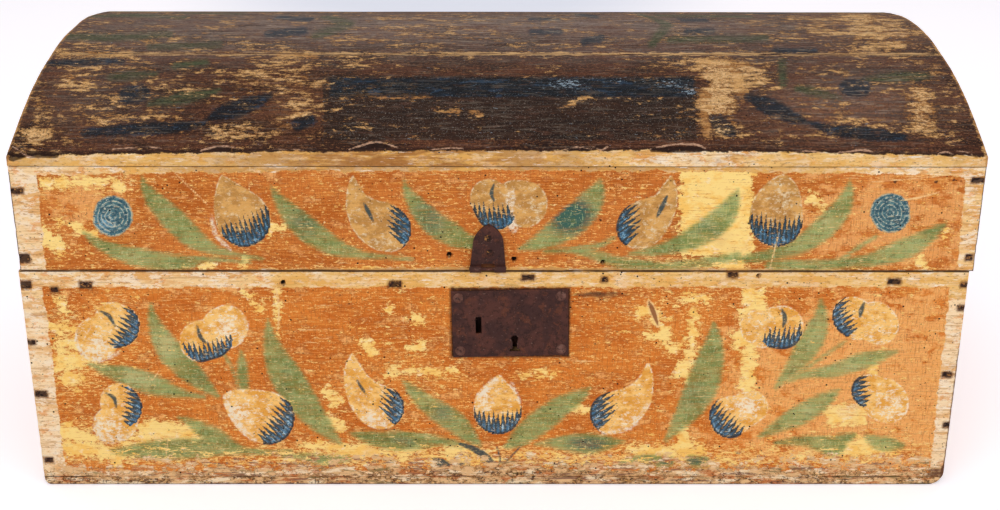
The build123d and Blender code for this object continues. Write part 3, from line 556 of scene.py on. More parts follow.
def addNode(tree, word, *values, **settings):
    # one node, its inputs set or linked in order, and the output that goes on from it
    kind, sockets, output, habits = brushwork[word]
    made = tree.nodes.new("ShaderNode" + kind)
    for name, value in {**habits, **settings}.items():
        setattr(made, name, value)
    for socket, value in zip(sockets, values):
        if isinstance(value, bpy.types.NodeSocket):
            tree.links.new(value, made.inputs[socket])
        else:
            made.inputs[socket].default_value = linear(value) if isinstance(value, str) else value
    return made.outputs[output]


def newFinish(name):
    # a material, the brush that adds nodes to it, and blots whose size is given in millimetres
    material = bpy.data.materials.new(name)
    material.use_nodes = True

    def lay(word, *values, **settings):
        return addNode(material.node_tree, word, *values, **settings)

    place = lay("place")

    def mottle(size, detail=3.0, rough=0.5, shift=0.0):
        spread = lay("stretch", place, (shift, shift, shift), [1 / (length * mm) for length in size])
        return lay("blots", spread, 1.0, detail, rough, 0.0)

    return material, lay, mottle


def coated(material, colour, rough, normal=None, **sockets):
    # what the brush laid goes on the surface
    shader = material.node_tree.nodes["Principled BSDF"]
    for socket, value in (("Base Color", colour), ("Roughness", rough), ("Normal", normal)):
        if isinstance(value, bpy.types.NodeSocket):
            material.node_tree.links.new(value, shader.inputs[socket])
        elif value is not None:
            shader.inputs[socket].default_value = value
    for socket, value in sockets.items():
        shader.inputs[socket].default_value = value
    return material


def wormHoles(lay, cell, size, share, seed):
    # flight holes of woodworm: one round hole in some cells, sizes in millimetres
    place = lay("place")
    spread = lay("stretch", place, (seed, seed, seed), [1 / (cell * mm)] * 3)
    near = lay("ease", lay("cells", spread, 1.0), size / cell * 1.1, size / cell * 0.8)
    pick = lay("blots", lay("stretch", place, (seed, seed, -seed), [0.4 / (cell * mm)] * 3), 1.0, 0.0, 0.5, 0.0)
    return lay("times", near, lay("ease", lay("plus", pick, share), 0.60, 0.61))


def inside(lay, field, wobble, soft=0.6):
    # 1 inside a painted shape, its edge moved to and fro by the wobble
    return lay("ease", lay("plus", field, wobble), soft, -soft)


def centred(lay, blots, reach):
    # noise about 0.5 made a shift of up to about the reach each way
    return lay("times", lay("less", blots, 0.5), reach * 2)


def swayed(lay, pattern, other, share):
    # a pattern raised where another is high
    return lay("plus", pattern, lay("times", other, share))


def coats(lay, colour, *layers):
    # coat on coat: a colour and how much of it shows, or a colour, the pattern that it follows, the pattern's level
    # where it starts, the level where it is full, and how much that is
    for tint, pattern, *levels in layers:
        amount = lay("ease", pattern, *levels[:2], 0.0, *levels[2:]) if levels else pattern
        colour = lay("over", colour, tint, amount)
    return colour


def creamGround(lay, mottle):
    # cream distemper over white gesso, gone ochre and rubbed in streaks along the boards
    patch = mottle((20, 9, 6), 7, 0.66, 12.0)
    streak = mottle((30, 2.0, 1.5), 6, 0.66, 3.1)
    age = lay("field", attribute_name="aged")
    bleach = lay("times", lay("ease", age, 0.0, -1.0), lay("ease", patch, 0.36, 0.52, 0.30, 0.95))
    gesso = lay("ease", mottle((11, 5, 4), 8, 0.74, 99.0), 0.53, 0.57)
    grime = lay("ease", swayed(lay, patch, streak, 0.5), 0.60, 0.78, 0.15, 1.0)
    return coats(
        lay, "#E3A75C",
        ("#F3C988", patch, 0.43, 0.54),
        ("#F8E4C8", mottle((13, 6, 5), 8, 0.72, 31.0), 0.52, 0.58, 0.85),
        ("#FBDDB2", bleach),
        ("#E8984E", mottle((9, 6, 6), 7, 0.7, 71.0), 0.54, 0.60, 0.65),
        ("#B98046", streak, 0.53, 0.60, 0.5),
        ("#F0BD66", age, -0.1, 0.05, 0.5),
        ("#FBE6C8", lay("times", gesso, lay("ease", age, 0.1, -0.2, 0.35, 0.8))),
        ("#A9713C", mottle((5, 3, 2), 8, 0.76, 92.0), 0.56, 0.61, 0.6),
        ("#A56C36", lay("times", lay("ease", age, 0.0, 0.8), grime)),
        ("#7E5233", mottle((2.2, 1.0, 0.9), 4, 0.7, 5.7), 0.60, 0.66, 0.65),
        ("#FDF4E4", mottle((16, 2.4, 1.8), 6, 0.72, 37.0), 0.60, 0.64, 0.75),
    )


def footStain(lay, mottle, colour, foot):
    # damp from the floor: grey brown and pink in tatters, with dark specks
    blotch = mottle((8, 5, 5), 9, 0.76, 44.0)
    speck = mottle((1.6, 1.1, 1.1), 5, 0.75, 47.0)
    dark = swayed(lay, lay("plus", speck, centred(lay, blotch, -0.5)), lay("ease", foot, 0.7, 1.1), 0.03)
    stained = coats(
        lay, "#A87948",
        ("#E6BC88", blotch, 0.44, 0.55),
        ("#BE6A30", mottle((16, 5, 4.6), 8, 0.74, 52.0), 0.52, 0.57, 0.85),
        ("#6A6238", mottle((24, 6, 4.0), 8, 0.74, 56.0), 0.56, 0.60, 0.75),
        ("#7D5646", mottle((34, 5, 2.8), 8, 0.74, 81.0), 0.54, 0.58, 0.85),
        ("#F6E0BC", mottle((14, 5, 3.2), 8, 0.76, 85.0), 0.54, 0.58, 0.9),
        ("#3B241A", dark, 0.57, 0.62, 0.9),
    )
    reach = lay("plus", foot, centred(lay, blotch, 2.6))
    return lay("over", colour, stained, lay("times", lay("ease", reach, 0.40, 0.56), lay("ease", foot, 0.0, 0.15)))


lidTints = {
    "deepOrange": "#B8601F", "orange": "#CC7330", "paleOrange": "#EBA663",
    "petal": "#BB8746", "petalLight": "#DBA65E", "petalWhite": "#EBD9B2", "white": 0.36,
    "strokeDark": "#1B3843", "stroke": "#2C6282", "strokeLight": "#86BCDA",
}
bodyTints = {
    "deepOrange": "#C76720", "orange": "#DA7C2E", "paleOrange": "#F3AE66",
    "petal": "#E8A445", "petalLight": "#FBC874", "petalWhite": "#FAEBCE", "white": 0.42,
    "strokeDark": "#1C3C4A", "stroke": "#336F94", "strokeLight": "#B4D6E6",
}
toothWidth = 2.35        # half the space from one comb stroke to the next, in pixels
frontFields = (
    "worn", "fade", "bare", "panel", "shade", "leaf", "petal", "paleSide", "white", "combAcross", "combReach", "ink",
    "disc", "scar", "scratch", "foot", "dirt", "worms", "joint", "rust", "pit",
)
topFields = (
    "worn", "fade", "russet", "leaf", "plate", "band", "glints", "ink", "bare", "panel", "scratch", "curl", "rim",
    "joint", "rust",
)


def distemperedBeech(name, tints):
    # beech boards with a cream ground, then orange, then flowers in matt distemper, chipped and rubbed
    material, lay, mottle = newFinish(name)
    field = {part: lay("field", attribute_name=part) for part in frontFields}
    cloud = mottle((38, 38, 24), 3, 0.55, 1.3)
    blotch = mottle((10, 7, 6), 7, 0.66, 14.0)
    grain = mottle((22, 1.1, 1.0), 5, 0.66, 3.1)
    brush = mottle((12, 0.9, 0.6), 4, 0.65, 23.0)
    weave = mottle((0.7, 0.8, 6), 3, 0.6, 27.0)
    speck = mottle((2.3, 0.9, 0.8), 4, 0.72, 5.7)
    chip = mottle((8, 3, 2.4), 9, 0.76, 8.8)
    wobble = centred(lay, mottle((2.4, 2.4, 2), 4, 0.65), 1.7)

    orange = coats(
        lay, tints["deepOrange"],
        (tints["orange"], cloud, 0.38, 0.60),
        ("#A04E1A", swayed(lay, blotch, field["fade"], -0.12), 0.50, 0.60, 0.65),
        (tints["paleOrange"], swayed(lay, blotch, field["fade"], 0.34), 0.55, 0.68, 0.95),
        ("#EA9C4A", brush, 0.51, 0.59, 0.6),
        ("#9A4E1C", weave, 0.52, 0.62, 0.38),
        ("#8A4A22", grain, 0.55, 0.63, 0.22),
        ("#6E3415", mottle((1.7, 0.9, 0.9), 4, 0.74, 93.0), 0.59, 0.65, 0.6),
        ("#F9C878", swayed(lay, speck, field["worn"], 0.16), 0.59, 0.63, 0.95),
    )
    yellow = coats(
        lay, "#FBC868",
        ("#FFDC88", blotch, 0.40, 0.54),
        ("#DE9A4C", brush, 0.58, 0.64, 0.35),
        ("#FBE8C8", mottle((9, 6, 5), 7, 0.72, 35.0), 0.57, 0.62, 0.5),
        ("#A86A34", speck, 0.62, 0.67, 0.6),
    )

    # how far each chip eats into the coats above the ground
    wear = lay("plus", swayed(lay, chip, field["worn"], 0.15), centred(lay, speck, 0.16))
    chips = lay("ease", wear, 0.615, 0.63)
    tatters = lay("plus", centred(lay, mottle((6, 4, 3.6), 9, 0.74, 90.0), 24.0), centred(lay, chip, 12.0))
    scraped = lay("ease", lay("plus", brush, centred(lay, speck, -0.2)), 0.66, 0.62, 0.0, 1.0)
    bare = lay("times", inside(lay, field["bare"], tatters, 0.5), scraped)
    border = lay("plus", centred(lay, mottle((11, 3, 11), 8, 0.72, 21.0), 7.0), wobble)
    panel = inside(lay, field["panel"], border, 0.6)
    kept = lay("times", lay("times", lay("less", 1.0, bare), lay("less", 1.0, chips)), panel)
    colour = coats(
        lay, creamGround(lay, mottle), (yellow, lay("times", panel, lay("ease", cloud, 0.20, 0.40))), (orange, kept),
    )

    # leaves: thin green that lets the brushed orange through
    shade = field["shade"]
    green = coats(
        lay, "#6F8446",
        ("#97A767", lay("plus", blotch, centred(lay, cloud, 0.3)), 0.40, 0.60),
        ("#BCC588", lay("plus", shade, centred(lay, blotch, 1.5)), 0.0, -1.1, 0.9),
        ("#215A55", lay("plus", shade, centred(lay, blotch, 0.6)), 0.0, 1.1, 0.95),
        ("#4F6236", grain, 0.54, 0.62, 0.35),
        ("#566B3C", mottle((5, 3, 4), 8, 0.74, 59.0), 0.53, 0.60, 0.65),
        ("#B4C48C", mottle((1.2, 1, 3.2), 4, 0.7, 97.0), 0.56, 0.62, 0.55),
        ("#DCD09C", speck, 0.60, 0.65, 0.65),
    )
    blade = lay("plus", field["leaf"], lay("plus", wobble, centred(lay, brush, 3.5)))
    leaf = lay("times", lay("ease", blade, 2.4, -2.0), lay("ease", blade, 0.0, -4.5, 0.72, 1.0))
    leaf = lay("times", leaf, lay("ease", brush, 0.44, 0.58, 0.96, 0.74))
    leaf = lay("times", leaf, lay("ease", weave, 0.52, 0.64, 1.0, 0.80))
    leaf = lay("larger", leaf, lay("times", lay("ease", blade, 0.0, -3.0), lay("ease", shade, 0.5, 1.3, 0.0, 0.97)))
    leaf = lay("times", leaf, lay("ease", wear, 0.66, 0.63))

    # petals: ochre scumbled with white, most of all at their rims
    rim = field["petal"]
    scumble = mottle((3.6, 3, 3), 8, 0.78, 17.0)
    rubbed = swayed(lay, lay("plus", scumble, centred(lay, speck, 0.25)), field["paleSide"], 0.11)
    line = lay("times", lay("ease", lay("plus", rim, wobble), -1.8, -0.8), lay("ease", scumble, 0.49, 0.54))
    cream = coats(
        lay, tints["petal"],
        (tints["petalLight"], blotch, 0.43, 0.57),
        ("#A86C30", speck, 0.55, 0.62, 0.6),
        (tints["petalWhite"], rubbed, 0.53, 0.66, tints["white"] * 2.2),
        (tints["petalWhite"], lay("times", line, 0.75)),
    )
    petal = lay("times", inside(lay, rim, lay("times", wobble, 0.6), 1.0), lay("ease", brush, 0.56, 0.64, 1.0, 0.74))
    dabs = inside(lay, field["white"], lay("times", wobble, 1.8), 1.4)
    dabs = lay("times", dabs, lay("ease", scumble, 0.45, 0.54, 0.1, 0.85))

    # combed strokes that fan in from the rim, each a long wedge that ends in a point
    across = swayed(lay, field["combAcross"], wobble, 0.9)
    tooth, slow, quick = (lay("toAndFro", across, toothWidth * share) for share in (1, 2.7, 1.37))
    reach = swayed(lay, field["combReach"], tooth, 0.50 / toothWidth)
    reach = lay("plus", reach, lay("plus", lay("times", slow, 0.020), lay("times", quick, 0.028)))
    reach = lay("plus", reach, centred(lay, speck, 0.4))
    comb = lay("times", lay("ease", reach, 1.08, 0.98), lay("ease", rim, 1.6, 0.2))
    hair = lay("toAndFro", lay("plus", across, centred(lay, speck, 2.0)), toothWidth * 0.62)
    shine = lay("times", lay("ease", hair, 1.05, 1.35), lay("ease", scumble, 0.47, 0.54))
    shine = lay("larger", shine, lay("ease", scumble, 0.56, 0.60))
    blue = coats(
        lay, tints["strokeDark"],
        (tints["stroke"], reach, 0.80, 0.30),
        (tints["strokeDark"], lay("plus", tooth, centred(lay, speck, 3.0)), 1.6, 2.3, 0.7),
        (tints["strokeLight"], lay("times", shine, lay("ease", reach, 0.95, 0.55, 0.0, 0.85))),
        ("#14242D", lay("plus", rim, wobble), -2.2, -0.8, 0.9),
    )
    ink = inside(lay, field["ink"], lay("times", wobble, 0.5), 0.8)

    # round flowers: thin cream rings on blue grey
    turn = lay("plus", field["disc"], lay("plus", lay("times", wobble, 0.7), centred(lay, blotch, 2.5)))
    ring = lay("toAndFro", turn, 1.9)
    bright = swayed(lay, scumble, field["paleSide"], 0.10)
    blueGrey = coats(
        lay, "#375A66",
        ("#5C8488", scumble, 0.44, 0.56),
        ("#86B2C6", lay("times", field["paleSide"], lay("ease", scumble, 0.44, 0.54))),
        ("#263E48", lay("plus", ring, centred(lay, speck, 2.0)), 1.1, 1.7, 0.5),
        ("#D8D9C6", mottle((2.4, 2, 1.2), 5, 0.72, 66.0), 0.57, 0.61, 0.85),
        ("#D6CCAC", lay("times", lay("ease", ring, 0.55, 0.10), lay("ease", bright, 0.46, 0.56, 0.05, 0.9))),
        ("#C2A87C", lay("times", lay("ease", turn, 18.7, 19.5, 0.0, 0.85), lay("ease", bright, 0.44, 0.52))),
    )

    # scars and scratches go through every coat
    scar = swayed(lay, field["scar"], wobble, 0.5)
    cut = inside(lay, field["scratch"], lay("times", wobble, 0.4), 0.5)
    cut = lay("times", lay("times", cut, lay("ease", speck, 0.40, 0.48)), 0.9)
    scratch = lay("times", lay("ease", mottle((11, 1.1, 0.9), 6, 0.74, 61.0), 0.625, 0.645), panel)
    colour = coats(
        lay, colour,
        (green, leaf),
        (cream, petal),
        ("#F1E2C8", dabs),
        (blue, lay("times", comb, lay("ease", speck, 0.58, 0.66, 0.96, 0.4))),
        ("#2C484C", lay("times", ink, lay("ease", speck, 0.56, 0.66, 0.92, 0.4))),
        (blueGrey, turn, 20.7, 19.9),
        ("#F4C88A", lay("times", lay("ease", scar, 2.4, 1.2), lay("ease", speck, 0.46, 0.52, 0.3, 0.9))),
        ("#8C5230", scar, 0.6, -0.6, 0.9),
        ("#F6CE90", cut),
        ("#F5CE8C", lay("times", scratch, 0.85)),
    )

    # then damp, dirt and painted shade, open joints, rust and worm holes
    joint = lay("ease", swayed(lay, field["joint"], wobble, 0.10), 0.75, 0.25)
    joint = lay("times", joint, lay("ease", mottle((26, 26, 3), 4, 0.6, 73.0), 0.36, 0.46, 0.45, 0.95))
    rust = swayed(lay, field["rust"], wobble, 0.35)
    share = lay("times", field["worms"], 0.16)
    holes = lay("larger", wormHoles(lay, 5.5, 0.55, share, 3.0), wormHoles(lay, 3.2, 0.34, share, 9.0))
    colour = coats(
        lay, footStain(lay, mottle, colour, field["foot"]),
        # dirt, and the painted shade along the body's right edge
        ("#5A3422", swayed(lay, field["dirt"], chip, 0.8), 0.80, 1.15, 0.92),
        ("#2E1B12", joint),
        ("#74401F", lay("plus", rust, centred(lay, scumble, 2.0)), 1.7, 0.3, 0.7),
        ("#2A1712", rust, 0.5, 0.1, 0.85),
        ("#20100A", holes),
        ("#120A07", field["pit"], 0.35, -0.1),
    )
    height = lay("plus", lay("times", kept, 0.5), lay("times", grain, 0.6))
    height = lay("plus", height, lay("plus", lay("times", leaf, 0.2), lay("times", speck, 0.6)))
    height = swayed(lay, height, holes, -1.2)
    return coated(
        material, colour, lay("ease", speck, 0.3, 0.7, 0.62, 0.82), lay("relief", height, 0.5, 0.25 * mm),
        **{"Specular IOR Level": 0.12},
    )


def smokedBeech():
    # the lid's top: near-black paint over ochre, flaked and scraped along the grain
    material, lay, mottle = newFinish("smoked_beech")
    field = {part: lay("field", attribute_name=part) for part in topFields}
    # dust, and painted sheen that makes the dome's top paler and greyer
    fade = field["fade"]
    flakes = mottle((6.5, 3, 3), 9, 0.74, 6.6)
    patches = mottle((26, 13, 13), 5, 0.66, 16.0)
    streak = mottle((36, 2.0, 2.2), 7, 0.70, 9.4)
    fine = mottle((1.9, 0.9, 0.9), 5, 0.76, 5.7)
    net = mottle((0.8, 2.4, 2.4), 4, 0.72, 17.0)
    cloud = mottle((46, 20, 20), 4, 0.6, 1.9)
    wobble = centred(lay, mottle((3, 2.4, 2.4), 5, 0.72), 5.0)

    dragged = lay("plus", streak, centred(lay, fine, 0.3))
    ochre = coats(
        lay, "#AC7844",
        ("#D6A468", patches, 0.42, 0.58),
        ("#7A4927", lay("plus", streak, centred(lay, fine, 0.2)), 0.50, 0.58, 0.8),
        ("#2E1B13", fine, 0.55, 0.61, 0.85),
    )
    brown = coats(
        lay, "#2E1B13",
        ("#533021", cloud, 0.40, 0.60),
        ("#7E5036", lay("times", field["russet"], lay("ease", flakes, 0.38, 0.52, 0.3, 0.95))),
        ("#1B1110", streak, 0.50, 0.57, 0.75),
        ("#8A5A3A", fine, 0.53, 0.60, 0.75),
        ("#20130E", net, 0.53, 0.61, 0.6),
        # dust and painted sheen: a paler grey brown over the top
        ("#85726A", lay("times", fade, lay("ease", dragged, 0.42, 0.55, 0.20, 1.0))),
    )

    # dull leaves, the black plate in the middle, and its blue-black band and strokes
    green = coats(lay, "#28301F", ("#4C573C", fine, 0.42, 0.56))
    leaf = inside(lay, field["leaf"], wobble, 3.0)
    black = coats(
        lay, "#1A110D",
        ("#33221A", dragged, 0.44, 0.56),
        ("#55372A", mottle((14, 5, 5), 7, 0.74, 83.0), 0.55, 0.62, 0.6),
        ("#94877C", mottle((0.9, 1.0, 1.0), 3, 0.7, 41.0), 0.61, 0.65, 0.8),
    )
    navy = coats(
        lay, "#0B0D11",
        ("#1A2028", streak, 0.46, 0.60),
        ("#2E4358", mottle((12, 5, 5), 6, 0.7, 77.0), 0.55, 0.62, 0.6),
        ("#7C8C9A", mottle((1.0, 1.0, 1.0), 4, 0.74, 43.0), 0.61, 0.66, 0.75),
    )
    band = inside(lay, field["band"], lay("times", wobble, 0.9), 1.4)
    ink = inside(lay, field["ink"], lay("times", wobble, 0.7), 2.4)
    # the blue-black strokes greyed by dust and painted sheen
    slate = lay("over", navy, "#4A4E56", lay("times", fade, 0.6))
    glint = swayed(lay, mottle((3.2, 1.2, 1.2), 6, 0.74, 29.0), field["glints"], 0.14)
    colour = coats(
        lay, brown,
        (green, lay("times", leaf, lay("ease", streak, 0.44, 0.58, 0.9, 0.40))),
        (black, lay("times", inside(lay, field["plate"], wobble, 1.0), 0.9)),
        (navy, lay("times", band, lay("ease", flakes, 0.58, 0.55, 0.35, 0.97))),
        ("#A9BCCB", glint, 0.655, 0.68, 0.9),
        (slate, lay("times", ink, lay("ease", flakes, 0.62, 0.56, 0.35, 0.95))),
    )

    # flaked to the ochre, with crisp tattered edges at every size
    uneven = lay("plus", centred(lay, patches, 0.25), centred(lay, fine, 0.20))
    level = lay("plus", swayed(lay, flakes, field["worn"], 0.14), uneven)
    tatters = lay("plus", centred(lay, flakes, 22.0), centred(lay, fine, 7.0))
    shown = lay("times", lay("ease", level, 0.565, 0.59), lay("ease", net, 0.58, 0.53, 0.35, 1.0))
    shown = lay("larger", shown, inside(lay, field["bare"], tatters, 0.9))
    shown = lay("times", shown, lay("ease", lay("larger", lay("larger", ink, band), leaf), 0.2, 0.8, 1.0, 0.15))
    shown = lay("times", shown, lay("ease", fade, 0.3, 0.9, 1.0, 0.75))
    grey = lay("ease", mottle((16, 1.6, 1.8), 6, 0.74, 33.0), 0.55, 0.59)

    # pale wood where the boards' edges have lost their paint, and the coat curls up along it over painted shadow
    ragged = lay("plus", centred(lay, mottle((9, 9, 9), 7, 0.72, 52.0), 5.0), centred(lay, fine, 2.0))
    past = inside(lay, lay("times", field["panel"], -1.0), ragged, 0.6)
    lip = lay("less", field["panel"], ragged)
    curl = lay("ease", lay("plus", field["scratch"], centred(lay, flakes, 2.2)), 0.3, -0.4)
    gap = lay("ease", lay("plus", field["joint"], centred(lay, flakes, 6.0)), 2.4, 1.8)
    holes = lay("larger", wormHoles(lay, 7, 0.55, 0.05, 4.0), wormHoles(lay, 5, 0.4, 0.04, 8.0))
    colour = coats(
        lay, colour,
        (ochre, shown),
        ("#E6BC86", lay("times", lay("ease", level, 0.66, 0.69), lay("ease", fine, 0.47, 0.53))),
        # grey streaks of dust and painted sheen
        ("#AE9C8A", lay("times", grey, lay("ease", fade, 0.0, 0.8, 0.15, 0.65))),
        (creamGround(lay, mottle), past),
        ("#2A1712", lay("times", lay("ease", lip, -4.0, -1.0), lay("ease", lip, 0.9, 0.2, 0.0, 0.8))),
        # painted shadow under the curled rims of the coat
        ("#24140F", lay("less", field["curl"], 0.5), 0.6, -0.6, 0.85),
        ("#CFA385", lay("times", curl, lay("ease", fine, 0.42, 0.52, 0.2, 0.85))),
        (ochre, lay("plus", field["rim"], centred(lay, flakes, 6.0)), 1.3, 0.8, 0.9),
        ("#C9A070", lay("times", gap, lay("ease", streak, 0.45, 0.52))),
        ("#150E0B", field["joint"], 0.6, 0.2, 0.95),
        ("#140C09", holes),
        ("#120B08", field["rust"], 1.0, 0.2, 0.85),
    )
    height = swayed(lay, lay("plus", lay("times", streak, 0.8), lay("times", fine, 0.7)), shown, -0.5)
    return coated(
        material, colour, lay("ease", streak, 0.35, 0.65, 0.70, 0.85), lay("relief", height, 0.7, 0.35 * mm),
        **{"Specular IOR Level": 0.08},
    )


def agedBeech(name, pale, middle, dark, along):
    # bare beech gone brown: short flecks and long grain along the board
    material, lay, mottle = newFinish(name)
    grain = mottle([60 if axis == along else 1.4 for axis in "XYZ"], 6, 0.62, 2.0)
    flecks = mottle([4 if axis == along else 0.6 for axis in "XYZ"], 2, 0.5, 7.0)
    colour = coats(
        lay, middle,
        (pale, mottle((60, 60, 60), 4, 0.55, 11.0), 0.38, 0.64),
        (dark, grain, 0.48, 0.66, 0.75),
        (dark, flecks, 0.62, 0.72, 0.5),
        ("#2B1910", mottle((9, 9, 9), 7, 0.72, 19.0), 0.60, 0.72, 0.6),
        ("#20120B", wormHoles(lay, 8, 0.55, 0.08, 5.0)),
    )
    relief = lay("relief", lay("plus", grain, flecks), 0.35, 0.2 * mm)
    return coated(material, colour, 0.75, relief, **{"Specular IOR Level": 0.25})


def bottomBeech():
    # the bottom board: dusty wood, with what paint and damp left on its front edge
    material, lay, mottle = newFinish("bottom_beech")
    grain = mottle((60, 1.4, 1.4), 6, 0.62, 2.0)
    place = lay("split", lay("place")).node.outputs
    painted = footStain(lay, mottle, creamGround(lay, mottle), 1.0)
    painted = coats(lay, painted, ("#33211A", place[2], 1.1 * mm, 0.3 * mm, 0.9))
    colour = coats(
        lay, "#8C6844",
        ("#A98560", mottle((60, 60, 60), 4, 0.55, 11.0), 0.38, 0.64),
        ("#5E4229", grain, 0.48, 0.66, 0.75),
        (painted, place[1], -0.1548, -0.1553),
    )
    return coated(material, colour, 0.78, lay("relief", grain, 0.4, 0.2 * mm), **{"Specular IOR Level": 0.2})


def forgedIron(name, dark, light):
    # hammered sheet iron with a brown, waxed skin of old rust, so no bare metal shines through
    material, lay, mottle = newFinish(name)
    dents = mottle((9, 9, 9), 2, 0.5, 1.0)
    scale = mottle((2.2, 2.2, 2.2), 6, 0.74, 4.0)
    colour = coats(
        lay, dark,
        (light, dents, 0.4, 0.6),
        ("#62341F", mottle((7, 7, 7), 7, 0.72, 9.0), 0.53, 0.60, 0.6),
        ("#23120F", scale, 0.52, 0.60, 0.75),
        ("#8A6A5C", mottle((2.4, 1.2, 1.2), 4, 0.72, 14.0), 0.62, 0.66, 0.6),
    )
    relief = lay("relief", lay("plus", lay("times", dents, 1.4), lay("times", scale, 0.5)), 0.7, 0.35 * mm)
    return coated(material, colour, lay("ease", scale, 0.35, 0.65, 0.52, 0.72), relief, **{"Specular IOR Level": 0.22})


def nailIron():
    # nail heads black with rust, and bits of paint still on them
    material, lay, mottle = newFinish("rusted_nail_iron")
    rust = mottle((1.8, 1.8, 1.8), 5, 0.72, 2.0)
    colour = coats(
        lay, "#1C0E0A",
        ("#43241A", rust, 0.48, 0.60),
        ("#A8743F", mottle((3.2, 3.2, 2.2), 5, 0.72, 7.0), 0.54, 0.58, 0.85),
    )
    return coated(material, colour, 0.75, lay("relief", rust, 0.6, 0.2 * mm), **{"Specular IOR Level": 0.2})


lidPaint = distemperedBeech("distempered_beech_lid", lidTints)
bodyPaint = distemperedBeech("distempered_beech_body", bodyTints)
topPaint = smokedBeech()
insideWood = agedBeech("bare_beech", "#C79C68", "#A87B4C", "#7A5230", "X")
underWood = bottomBeech()
iron = forgedIron("forged_iron", "#371C17", "#4B281F")
rivetIron = forgedIron("filed_rivet_iron", "#5C3A30", "#745045")      # rubbed lighter than the plate
nail = nailIron()
print("stage 2: finishes mixed")


# Boards that carry paint are modelled with a fine face, so that the brushwork has something to lie on

def selectOpenRims():
    bpy.ops.object.mode_set(mode="EDIT")
    bpy.ops.mesh.select_mode(type="EDGE")
    bpy.ops.mesh.select_all(action="DESELECT")
    bpy.ops.mesh.select_non_manifold()


def turnFacesOut():
    bpy.ops.mesh.select_all(action="SELECT")
    bpy.ops.mesh.normals_make_consistent(inside=False)
    bpy.ops.object.mode_set(mode="OBJECT")


def addGrid(**settings):
    # a fine grid, with nothing else selected
    bpy.ops.object.select_all(action="DESELECT")
    bpy.ops.mesh.primitive_grid_add(size=1, **settings)
    return bpy.context.object


def addPaintedBoard(name, node, cell, turn=0.0, mortise=None):
    # a grid for the painted face, its rim drawn back by the board's thickness and closed
    low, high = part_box(node)
    middle, size = (low + high) / 2, high - low
    normal = Vector((round(math.sin(turn)), -round(math.cos(turn)), 0))
    width, thickness = (size.y, size.x) if turn else (size.x, size.y)
    board = addGrid(
        x_subdivisions=round(width / cell), y_subdivisions=round(size.z / cell),
        location=middle + normal * thickness / 2, rotation=(math.pi / 2, 0, turn),
    )
    board.name = name
    board.scale = (width, size.z, 1)
    bpy.ops.object.transform_apply(location=True, rotation=True, scale=True)
    if mortise:
        bpy.ops.object.mode_set(mode="EDIT")
        bpy.ops.mesh.select_all(action="DESELECT")
        bpy.ops.object.mode_set(mode="OBJECT")
        for face in board.data.polygons:
            face.select = mortise[0] < face.center.x < mortise[2] and mortise[1] < face.center.z < mortise[3]
        bpy.ops.object.mode_set(mode="EDIT")
        bpy.ops.mesh.delete(type="FACE")
        bpy.ops.object.mode_set(mode="OBJECT")
    selectOpenRims()
    bpy.ops.mesh.extrude_region_move(TRANSFORM_OT_translate={"value": -normal * thickness})
    if mortise:
        bpy.ops.mesh.bridge_edge_loops()
    else:
        bpy.ops.mesh.edge_face_add()
    turnFacesOut()
    return board, normal


def finishFaces(piece, normal, face, back, mortise=None):
    # the painted face and sides get one finish; the hidden face, the edges and the lock's mortise stay bare
    for finish in (face, back):
        piece.data.materials.append(finish)
    for polygon in piece.data.polygons:
        x, _, z = polygon.center
        square = polygon.normal.dot(normal)
        inLock = mortise and abs(square) < 0.5 and (
            mortise[0] - 2 * mm < x < mortise[2] + 2 * mm and mortise[1] - 2 * mm < z < mortise[3] + 2 * mm
        )
        polygon.material_index = 1 if square < -0.5 or abs(polygon.normal.z) > 0.8 or inLock else 0


def nailHeads(name):
    # the box of each nail's head in a node, from the corners that lie nearest its outer face
    places = np.array([v.co for v in nodes[name].data.vertices])
    heads = places[places[:, 1] < places[:, 1].min() + 1.0 * mm]
    groups = []
    for spot in heads:
        for group in groups:
            if np.abs(spot - group[0]).max() < 8 * mm:
                group.append(spot)
                break
        else:
            groups.append([spot])
    return [(np.array(g).min(0), np.array(g).max(0)) for g in groups]


def nailField(places, nodeNames):
    # millimetres from the nearest nail head of these nodes, seen square on to the face
    best = np.full(len(places), 99.0)
    for name in nodeNames:
        for low, high in nailHeads(name):
            outside = np.maximum(np.maximum(low - places, places - high), 0)
            best = np.minimum(best, np.linalg.norm(outside[:, [0, 2]], axis=1) / mm)
    return best


boardWear = {
    "cell": 1.0 * mm,         # one square of the painted face
    "endCell": 1.25 * mm,
    "arris": 1.8 * mm,        # how far in from its edges a board is rubbed round
    "waviness": 0.10 * mm,
    "headPit": 0.55 * mm,     # deeper than the nail heads are sunk, so that they show
    "filled": -0.12,          # noise below this is paint left over a nail head
    "footReach": 12 * mm,     # how far in the rounding of a foot corner goes
    "holeDepth": 2.5 * mm,
}
offFace = 12 * mm            # stands for the sides and back of a board
bodyHoles = [(-116.2, 126.6, 1.2), (144.5, 131.0, 0.9)]      # big worm or nail holes: x, z, radius in mm
lidHoles = [(-24.7, 143.2, 1.3), (10.7, 140.6, 1.2), (59.0, 138.9, 1.0)]


